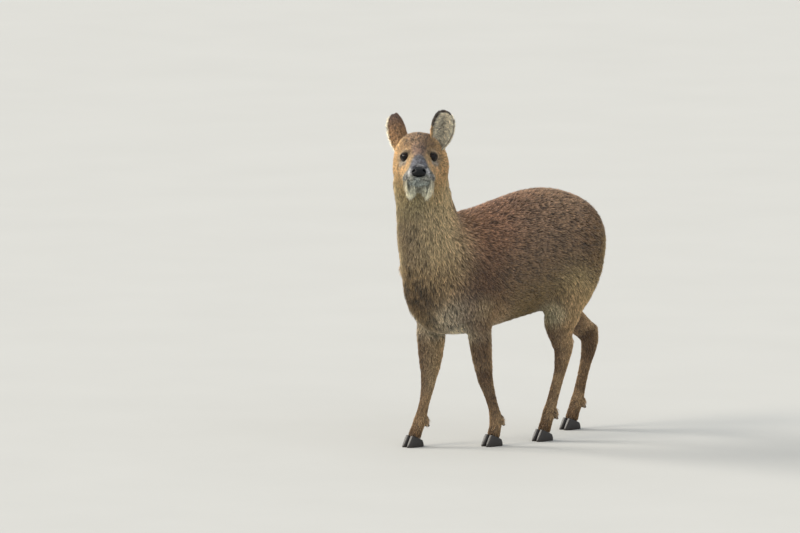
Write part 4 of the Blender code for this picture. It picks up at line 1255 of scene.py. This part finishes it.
def lid_hair():
    """Very short hair on the lids, from close to their bare edge outwards."""
    count = LID_TUFTS
    parts = []
    for side in EYES:
        axes = eye_axes(side)
        around = draw.uniform(0, 2 * math.pi, count)
        beyond = draw.uniform(0.14, 0.68, count)
        tilt = lid_edge(around) + beyond
        ahead = np.array([1.0, 0, 0])
        beside = np.stack([np.zeros(count), np.cos(around), np.sin(around)], axis=1)
        radial = (ahead * np.cos(tilt)[:, None] + beside * np.sin(tilt)[:, None]) @ axes
        outward = (beside * np.cos(tilt)[:, None] - ahead * np.sin(tilt)[:, None]) @ axes
        roots = EYES[side] + radial * ((EYE_RADIUS + np.interp(beyond, *zip(*LID_SECTION))) * MM)[:, None]
        lie, _, tone, _ = coat_at(roots)
        run = 0.9 * outward + 0.8 * unit(lie) + 0.15 * draw.standard_normal((count, 3))
        run = unit(run - radial * (run * radial).sum(1, keepdims=True))
        upper = np.sin(around).clip(0, 1)
        by_nose = (0.5 * np.sin(around) - 0.87 * np.cos(around)).clip(0, 1) ** 2
        shade = 0.28 + 0.72 * ((beyond - 0.12) / (0.08 + 0.3 * upper)).clip(0, 1)
        tone = tone * (shade * (1 - 0.7 * by_nose))[:, None]
        flat = np.stack([0.02 + 0.46 * around / (2 * math.pi) + 0.5 * (side == "right"), beyond], axis=1)
        parts.append((roots, radial, unit(run + 0.5 * radial), unit(run + 0.1 * radial), tone, flat))
    roots, normals, starts, ends, tone, flat = (np.concatenate(each) for each in zip(*parts))
    count = len(roots)
    lengths = LID_HAIR_LONG * draw.uniform(0.8, 1.2, count) * MM
    widths = draw.uniform(0.65, 0.9, count) * MM
    return tufts("coat_lids", roots, normals, starts, ends, lengths, widths, tone,
                 draw.uniform(0.2, 0.8, count), flat, sunk=0.4)


coat_pieces.append(lid_hair())

# %% [markdown]
# The lashes are few, stiff and nearly black. They stand along the upper lid, longest over the outer half
# of the eye, with a few short ones below, and sweep forward and up.

# %% The lashes
UPPER_LASHES = 64
LOWER_LASHES = 18


def lashes():
    """Dark lashes on both lids of both eyes."""
    upper = draw.uniform(-0.2, 2.2, UPPER_LASHES)
    lower = draw.uniform(3.6, 5.6, LOWER_LASHES)
    around = np.concatenate([upper, lower])
    above = np.interp(upper, (-0.2, 0.8, 2.2), (3.6, 4.6, 2.5))
    longest = np.concatenate([above, np.full(LOWER_LASHES, 2.0)])
    tilt = lid_edge(around) + 0.03
    rows = []
    for side in EYES:
        axes = eye_axes(side)
        beside = np.stack([np.zeros(len(around)), np.cos(around), np.sin(around)], axis=1)
        ahead = np.array([1.0, 0, 0])
        place = ahead * np.cos(tilt)[:, None] + beside * np.sin(tilt)[:, None]
        leave = unit(ahead * 0.9 + beside * 0.5 + 0.12 * draw.standard_normal(place.shape))
        stray = 0.1 * draw.standard_normal(place.shape)
        sweep = unit(beside + ahead * 0.15 + np.array([0, 0.35, 0.1]) + stray)
        root = EYES[side] + place * (EYE_RADIUS + 1.2) * MM @ axes
        rows.append((root, place @ axes, leave @ axes, sweep @ axes))
    roots, normals, starts, ends = (np.concatenate(parts) for parts in zip(*rows))
    count = len(roots)
    lengths = np.tile(longest, 2) * draw.uniform(0.75, 1.15, count) * MM
    flat = np.stack([np.linspace(0.05, 0.95, count), np.full(count, 0.5)], axis=1)
    tone = np.tile(linear("#2a201a"), (count, 1))
    return tufts("coat_lashes", roots, normals, starts, ends, lengths, np.full(count, 0.42 * MM), tone,
                 draw.uniform(0.2, 0.6, count), flat, (0, 0.5), (1.0, 0.8), sunk=0.5)


coat_pieces.append(lashes())

# %% [markdown]
# ## Nose and lips
#
# The nose pad is bare, dark and moist, with a nostril like a comma at each side and a grain of fine
# pebbles. It starts as a sphere, is pressed into the pad's shape, gets its nostrils from a Boolean cut,
# and is remeshed so that their edges can be rounded.

# %% The nose pad
# In the head's axes, in millimetres: middle and half sizes of the pad, and the left nostril's middle
NOSE_AT = (96.5, 0, -34)
NOSE_HALF = (13.5, 15.8, 10.4)
NOSTRIL_AT = (105, 11.4, -31)
# The comma of a nostril: the half sizes of its hole and of its wing, and how far the wing lies from the hole
HOLE_HALF = (8.5, 4.1, 3.0)
WING_HALF = (7.5, 2.0, 2.8)
WING_AT = (-2.2, 3.4, -2.0)
NOSE_GRAIN = 0.6


def ball(name, centre, half, turned=np.eye(3)):
    """A sphere primitive stretched to half sizes in the head's axes, with its place in its mesh."""
    bpy.ops.object.select_all(action="DESELECT")
    bpy.ops.mesh.primitive_uv_sphere_add(segments=48, ring_count=32, radius=1, location=(0, 0, 0))
    made = bpy.context.view_layer.objects.active
    made.name = name
    move_points(made, in_head(points_of(made) * half @ turned.T + centre))
    return made


def nose():
    """The nose pad with its nostrils."""
    made = ball("nose_pad", (0, 0, 0), (1, 1, 1))
    forward, left, up = from_head(points_of(made)).T
    grow = np.hypot(left, up) / np.maximum((np.abs(left) ** 3 + np.abs(up) ** 3) ** (1 / 3), 1e-6)
    left, up = left * grow, up * grow
    left = left * np.interp(up, (-1.1, -0.3, 0.3, 1.1), (0.93, 1.0, 0.98, 0.78))
    forward = forward - 0.16 * np.clip(up, 0, 1) ** 2
    groove = np.exp(-(left / 0.07) ** 2) * np.interp(up, (-1, 0.1, 0.35), (0.14, 0.1, 0))
    forward = forward - groove
    shaped = np.stack([forward, left, up], axis=1) * NOSE_HALF + NOSE_AT
    move_points(made, in_head(shaped))
    for sign in (1, -1):
        spread = np.array(Matrix.Rotation(sign * 0.5, 3, "Z") @ Matrix.Rotation(sign * -0.35, 3, "X"))
        at, wing_at = np.array((NOSTRIL_AT, WING_AT)) * (1, sign, 1)
        for cutter in (ball("hole", at, HOLE_HALF, spread), ball("wing", at + wing_at, WING_HALF, spread)):
            finish_with(made, "BOOLEAN", operation="DIFFERENCE", object=cutter, solver="EXACT")
            bpy.data.objects.remove(cutter)
    finish_with(made, "REMESH", mode="VOXEL", voxel_size=NOSE_GRAIN * MM)
    finish_with(made, "SMOOTH", iterations=4)
    pick(made)
    bpy.ops.object.shade_smooth()
    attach(made, "root")
    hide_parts("nose")
    return made


nose_pad = nose()
print("nose pad:", len(nose_pad.data.polygons), "faces")

# %% [markdown]
# The lips meet in a thin dark line that runs from under the nose to the corner of the mouth. It is two slim
# rolls of bare skin, half sunk in the coat, that taper to nothing at the corners.

# %% The line of the lips
# The line of the mouth from its left corner to the middle, in the head's axes
MOUTH = (
    (50, 40, -43), (58, 38, -46.5), (66, 37, -49), (80, 33, -52), (92, 25, -53), (101, 14, -52),
    (105, 5, -50.5),
)
# Across both rolls from below: height, and how far out they stand, in millimetres
LIP_SECTION = ((-2.4, -0.6), (-2.0, 0.7), (-1.1, 1.25), (-0.35, 1.0), (0, -0.5), (0.35, 1.05), (1.1, 1.5),
               (2.0, 0.9), (2.4, -0.6))
# Along them from corner to corner: their size, thin at the corners and under the nose
LIP_TAPER = ((0, 0.25), (0.08, 1), (0.36, 0.9), (0.5, 0.3), (0.64, 0.9), (0.92, 1), (1, 0.25))
LIP_STEPS = 61


def lips():
    """The two rolls of the lips, along the surface of the skin."""
    half = np.array(MOUTH, float)
    line = np.vstack([half, half[::-1] * (1, -1, 1)])
    steps = np.linspace(0, len(line) - 1, LIP_STEPS)
    line = np.stack([np.interp(steps, range(len(line)), line[:, i]) for i in range(3)], axis=1)
    places, normals = [], []
    for point in in_head(line):
        near, normal, *_ = skin_surface.find_nearest(point)
        places.append(near)
        normals.append(normal)
    places, normals = np.array(places), np.array(normals)
    for _ in range(3):
        places[1:-1] = (places[:-2] + 2 * places[1:-1] + places[2:]) / 4
        normals[1:-1] = unit(normals[:-2] + normals[1:-1] + normals[2:])
    along = unit(np.gradient(places, axis=0))
    up = unit(np.cross(normals, along))
    taper = np.interp(np.linspace(0, 1, LIP_STEPS), *zip(*LIP_TAPER))[:, None]
    rows = []
    for height, out in LIP_SECTION:
        rows.append(places + up * height * MM * taper + normals * out * MM * (0.4 + 0.6 * taper))
    made = sheet("lips", rows)
    outwards(made, in_head((60, 0, -45)))
    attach(made, "root")
    return made


lip_piece = lips()
print("lips:", len(lip_piece.data.polygons), "faces")

# %% [markdown]
# ## Hooves
#
# A deer stands on two claws of horn a foot, with two dew claws behind. The solid claws are right in shape
# but faceted, so a merged copy is remeshed finely and smoothed, and then pressed back onto the floor.

# %% Smooth the claws of horn
# In millimetres: the remesh's grain, and how much of a claw's foot is pressed flat onto the floor
CLAW_GRAIN = {"hoof": 1.2, "dewclaw": 0.9}
SOLE = 1.2


def horn(name, grain):
    """A smooth copy of a solid claw."""
    made = merged_copy("horn_" + name, name)
    low = float(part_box(name)[0].z)
    finish_with(made, "REMESH", mode="VOXEL", voxel_size=grain * MM)
    finish_with(made, "SMOOTH", iterations=4)
    if low < MM:
        places = points_of(made)
        places[:, 2] = np.where(places[:, 2] < low + SOLE * MM, low, places[:, 2])
        move_points(made, places)
    pick(made)
    bpy.ops.object.shade_smooth()
    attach(made, "root")
    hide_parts(name)
    return made


horn_pieces = []
for leg in LEG_LINES:
    for end in ("inner", "outer"):
        for claw, grain in CLAW_GRAIN.items():
            horn_pieces.append(horn(f"{claw}_{leg}_{end}", grain))
print(len(horn_pieces), "claws,", sum(len(piece.data.polygons) for piece in horn_pieces), "faces")

# %% [markdown]
# ## Materials
#
# A material is a small graph of nodes. One function adds a node with its settings and links, and every
# material below is built with it. The sizes of patterns are in millimetres, and since the model is in
# metres, a pattern's scale is the number of its waves in a metre.

# %% A material and its nodes
def feed(node, **inputs):
    """Gives a node's inputs a value, or another node's output."""
    for name, value in inputs.items():
        socket = next(each for each in node.inputs if each.enabled and each.name.replace(" ", "_") == name)
        if isinstance(value, bpy.types.NodeSocket):
            node.id_data.links.new(value, socket)
        else:
            socket.default_value = value


def add_node(material, kind, settings=None, **inputs):
    """Adds a node with its own settings, and feeds its inputs."""
    made = material.node_tree.nodes.new("ShaderNode" + kind)
    for setting, value in (settings or {}).items():
        setattr(made, setting, value)
    feed(made, **inputs)
    return made


def new_material(name, **values):
    """A material with a Principled shader, whose plain values are set on its own sockets."""
    material = bpy.data.materials.new(name)
    material.use_nodes = True
    shader = material.node_tree.nodes["Principled BSDF"]
    feed(shader, **values)
    return material, shader


def paint(code, strength=1.0):
    """A hex colour as a socket takes it: linear, with a fourth value of one."""
    return (*(linear(code) * strength), 1)


def dress(pieces, material):
    """Gives the pieces this material alone."""
    for piece in pieces:
        piece.data.materials.clear()
        piece.data.materials.append(material)
    print(material.name, "on", len(pieces), "pieces")


STORED = {"attribute_type": "GEOMETRY"}
COLOURS = {"data_type": "RGBA"}

# %% [markdown]
# Deer hair is hollow and stiff, banded along its length: grey-brown at the root, a dark band, then a pale
# ring close under the tip. Seen together the bands give the salt-and-pepper look that the trade calls
# agouti. The material reads how far along the hair a point is, and darkens and lightens the coat's tone
# there. The tuft's own number decides how pale its ring is. The hair is dull, with a faint sheen from the
# side, so it is rough and has little gloss.

# %% The coat's material
# From the root to the tip: place, and brightness of red, green and blue beside the coat's tone
HAIR_ROOT = (0.5, 0.5, 0.5, 1)
HAIR_BANDS = ((0.35, 0.6), (0.56, 0.72), (0.74, 1.45), (0.9, 1.3))
HAIR_TIP = (0.62, 0.6, 0.58, 1)


def hair_material():
    """Banded deer hair over a tone that is stored with the tufts."""
    material, shader = new_material("banded_deer_hair", Roughness=0.62, Specular_IOR_Level=0.35,
                                    Sheen_Weight=0.12, Sheen_Roughness=0.5)
    tone, along, vary = (add_node(material, "Attribute", {**STORED, "attribute_name": name})
                         for name in ("tone", "along", "vary"))
    ramp = add_node(material, "ValToRGB", Fac=along.outputs["Fac"])
    ramp.color_ramp.elements[0].color = HAIR_ROOT
    ramp.color_ramp.elements[1].color = HAIR_TIP
    for place, value in HAIR_BANDS:
        ramp.color_ramp.elements.new(place).color = (value, value, value, 1)
    lightness = add_node(material, "MapRange", Value=vary.outputs["Fac"], To_Min=0.12, To_Max=1.88)
    banded = add_node(material, "Mix", {**COLOURS, "blend_type": "MULTIPLY"}, Factor=1.0,
                      A=tone.outputs["Color"], B=ramp.outputs["Color"])
    varied = add_node(material, "VectorMath", {"operation": "SCALE"}, Vector=banded.outputs[2],
                      Scale=lightness.outputs["Result"])
    feed(shader, Base_Color=varied.outputs["Vector"])
    return material


dress(coat_pieces, hair_material())

# %% [markdown]
# Between the tufts shows the underfur on the skin. It has the tone of the coat above it, because skin and
# coat carry the same markings, but darker and matt, as wool in the shade of the guard hairs is. Its grain
# is 2.4 mm, coarser than real underfur, which would be too fine to show.

# %% The skin's material
def skin_material():
    """Underfur over skin: the coat's tone, darker, with a fine grain that is also felt as bump."""
    material, shader = new_material("underfur_on_skin", Roughness=0.85)
    tone = add_node(material, "Attribute", {**STORED, "attribute_name": "tone"})
    where = add_node(material, "TexCoord")
    grain = add_node(material, "TexNoise", Vector=where.outputs["Object"], Scale=420.0, Detail=3.0)
    shade = add_node(material, "MapRange", Value=grain.outputs["Fac"], To_Min=0.35, To_Max=0.75)
    varied = add_node(material, "VectorMath", {"operation": "SCALE"}, Vector=tone.outputs["Color"],
                      Scale=shade.outputs["Result"])
    bump = add_node(material, "Bump", Strength=0.5, Distance=0.8 * MM, Height=grain.outputs["Fac"])
    feed(shader, Base_Color=varied.outputs["Vector"], Normal=bump.outputs["Normal"])
    return material


store(skin.data, "tone", "FLOAT_COLOR", with_alpha(coat_at(points_of(skin))[2]))
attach(skin, "root")
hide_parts(*FLESH)
dress([skin], skin_material())

# %% [markdown]
# Bare skin is leathery: nearly black, a little moist, and covered with fine pebbles. The nose has the
# largest pebbles and the most gloss, which gives the eye its small broken lights. The lips and the edges
# of the lids have finer ones and are duller.

# %% The material of nose, lips and lids
def bare_skin(name, colour, rough, pebble, depth):
    """Bare, dark, slightly moist skin with a grain of pebbles, whose size and depth are in millimetres."""
    material, shader = new_material(name, Roughness=rough, IOR=1.3, Coat_Weight=0.08, Coat_Roughness=0.3)
    where = add_node(material, "TexCoord")
    cells = add_node(material, "TexVoronoi", {"feature": "F1"}, Vector=where.outputs["Object"],
                     Scale=1000 / pebble)
    blotch = add_node(material, "TexNoise", Vector=where.outputs["Object"], Scale=260.0, Detail=2.0)
    mix = add_node(material, "Mix", COLOURS, Factor=blotch.outputs["Fac"], A=paint(colour, 0.6),
                   B=paint(colour, 1.5))
    bump = add_node(material, "Bump", {"invert": True}, Strength=0.7, Distance=depth * MM,
                    Height=cells.outputs["Distance"])
    feed(shader, Base_Color=mix.outputs[2], Normal=bump.outputs["Normal"])
    return material


dress([nose_pad], bare_skin("moist_nose_leather", "#060709", 0.42, 1.3, 0.25))
dress([lip_piece], bare_skin("lip_skin", "#1f1c1b", 0.5, 0.9, 0.1))
dress(lid_pieces, bare_skin("lid_skin", "#17120f", 0.6, 0.8, 0.12))

# %% [markdown]
# A deer's iris is so dark a brown that it runs into the pupil, and what the eye shows is mostly the bright
# reflection of the sky on a wet cornea. A clear coat over a dark base gives exactly that.

# %% The eye's material
# From the middle of the eye outwards: place, and colour of pupil, iris and rim
PUPIL = "#050404"
IRIS = ((0.42, "#060504"), (0.5, "#1a0f0a"), (0.8, "#20130b"))
IRIS_RIM = "#0e0907"


def eye_material():
    """Dark brown iris, lying oval pupil and a wet cornea."""
    material, shader = new_material("wet_cornea_over_dark_iris", Roughness=0.3, IOR=1.2, Coat_Weight=0.25,
                                    Coat_Roughness=0.03)
    place = add_node(material, "Attribute", {**STORED, "attribute_name": "eye_place"})
    flat = add_node(material, "Mapping", {"vector_type": "POINT"}, Vector=place.outputs["Vector"],
                    Scale=(1.0, 1.6, 0.0))
    far = add_node(material, "VectorMath", {"operation": "LENGTH"}, Vector=flat.outputs["Vector"])
    ramp = add_node(material, "ValToRGB", Fac=far.outputs["Value"])
    ramp.color_ramp.elements[0].color = paint(PUPIL)
    ramp.color_ramp.elements[1].color = paint(IRIS_RIM)
    for position, code in IRIS:
        ramp.color_ramp.elements.new(position).color = paint(code)
    feed(shader, Base_Color=ramp.outputs["Color"])
    return material


dress(eyeballs, eye_material())

# %% [markdown]
# Hooves are horn, like a fingernail but nearly black. They grow down from the coat in rings about 2.6 mm
# apart, which catch a dull light. The ear is thin skin, pinkish grey and mottled by its veins, and shows
# only between its hairs.

# %% Horn, and the skin of the ears
def horn_material():
    """Dark hoof horn with growth rings."""
    material, shader = new_material("hoof_horn", Roughness=0.5, IOR=1.54)
    where = add_node(material, "TexCoord")
    rings = add_node(material, "TexWave", {"wave_type": "BANDS", "bands_direction": "Z"}, Scale=120.0,
                     Vector=where.outputs["Object"], Distortion=2.5, Detail=2.0)
    colour = add_node(material, "Mix", COLOURS, Factor=rings.outputs["Fac"], A=paint("#1c1815"),
                      B=paint("#2e2722"))
    bump = add_node(material, "Bump", Strength=0.25, Distance=0.2 * MM, Height=rings.outputs["Fac"])
    feed(shader, Base_Color=colour.outputs[2], Normal=bump.outputs["Normal"])
    return material


def ear_skin_material():
    """Thin skin of the ear: pinkish grey, downy, with veins about 11 mm apart."""
    material, shader = new_material("thin_ear_skin", Roughness=0.7, Sheen_Weight=0.3)
    where = add_node(material, "TexCoord")
    veins = add_node(material, "TexNoise", Vector=where.outputs["Object"], Scale=90.0, Detail=4.0)
    colour = add_node(material, "Mix", COLOURS, Factor=veins.outputs["Fac"], A=paint("#5c4d3f"),
                      B=paint("#8d7a66"))
    bump = add_node(material, "Bump", Strength=0.3, Distance=0.5 * MM, Height=veins.outputs["Fac"])
    feed(shader, Base_Color=colour.outputs[2], Normal=bump.outputs["Normal"])
    return material


dress(horn_pieces, horn_material())
dress(ear_skins, ear_skin_material())

# %% [markdown]
# ## Floor, light and camera
#
# The floor is a plain pale studio floor, matt, with a cloudiness so faint that it only keeps the pale
# surface from looking like paper. It is far wider than the view, so that no edge of it shows.

# %% The floor
bpy.ops.object.select_all(action="DESELECT")
bpy.ops.mesh.primitive_plane_add(size=80, location=(0, 0, 0))
floor = bpy.context.view_layer.objects.active
floor.name = "studio_floor"
floor_material, floor_shader = new_material("matt_studio_floor", Roughness=0.9)
floor_where = add_node(floor_material, "TexCoord")
floor_clouds = add_node(floor_material, "TexNoise", Vector=floor_where.outputs["Object"], Scale=3.0,
                        Detail=4.0)
floor_colour = add_node(floor_material, "Mix", COLOURS, Factor=floor_clouds.outputs["Fac"],
                        A=paint("#b8b7b3"), B=paint("#bebdb9"))
feed(floor_shader, Base_Color=floor_colour.outputs[2])
dress([floor], floor_material)

# %% [markdown]
# The photograph was taken with a long lens from the animal's front left, so the camera stands 40 m away
# and looks through a lens of about 800 mm, which gives almost no perspective. It is aimed at the point that
# lies in the middle of the photo. Three large soft lights stand in for an overcast sky: a broad one above
# and to the left of the camera, a weaker one to its right, and one behind that draws the rim.

# %% Camera and lights
PIXEL = 2.2 * MM
CAMERA_TURN = math.radians(140)
CAMERA_RISE = math.radians(7)
CAMERA_FAR = 40.0
# In pixels: the photo's width and its middle, and where the floor under the body's origin lies in it
PHOTO_WIDE = 800
PHOTO_MIDDLE = (400, 266.5)
ORIGIN_IN_PHOTO = (500.5, 442.5)
right = np.array([math.cos(CAMERA_TURN), math.sin(CAMERA_TURN), 0])
level = np.array([math.sin(CAMERA_TURN), -math.cos(CAMERA_TURN), 0])
overhead = np.array([0, 0, 1.0])
back = level * math.cos(CAMERA_RISE) + overhead * math.sin(CAMERA_RISE)
top = np.cross(back, right)
aim = (right * (PHOTO_MIDDLE[0] - ORIGIN_IN_PHOTO[0]) + top * (ORIGIN_IN_PHOTO[1] - PHOTO_MIDDLE[1])) * PIXEL


def look(thing, place, target):
    """Puts a light or camera at a place, turned to the target."""
    thing.location = Vector(place)
    thing.rotation_euler = (Vector(target) - Vector(place)).to_track_quat("-Z", "Y").to_euler()
    bpy.context.scene.collection.objects.link(thing)


lens = bpy.data.cameras.new("camera")
lens.sensor_width = 36
lens.lens = lens.sensor_width * CAMERA_FAR / (PHOTO_WIDE * PIXEL)
lens.clip_end = 300
camera = bpy.data.objects.new("camera", lens)
look(camera, aim + back * CAMERA_FAR, aim)
bpy.context.scene.camera = camera
print("lens:", round(lens.lens), "mm")


def soft_light(name, place, strength, colour, spread):
    """A distant light that falls evenly everywhere, and whose spread in degrees softens its shadows."""
    lamp = bpy.data.lights.new(name, "SUN")
    lamp.angle = math.radians(spread)
    lamp.energy = strength
    lamp.color = linear(colour)
    look(bpy.data.objects.new(name, lamp), place, (0, 0, 0))


soft_light("key", back * 1.3 - right * 2.6 + overhead * 1.8, 1.5, "#fff6e6", 26)
soft_light("fill", back * 2.0 + right * 2.4 + overhead * 1.2, 0.3, "#eaf2ff", 60)
soft_light("rim", overhead * 1.6 - back * 0.9 - right * 3.0, 3.0, "#fffaf0", 24)
world = bpy.data.worlds.new("soft_sky")
world.use_nodes = True
feed(world.node_tree.nodes["Background"], Color=paint("#e9eef2"), Strength=0.9)
bpy.context.scene.world = world
bpy.context.scene.view_settings.view_transform = "Standard"

# %% [markdown]
# The count of triangles in the whole coat is printed. Hair may stand out a little, but the animal keeps
# its size.

# %% Count the coat's triangles
print("coat:", sum(len(piece.data.polygons) for piece in coat_pieces), "triangles")
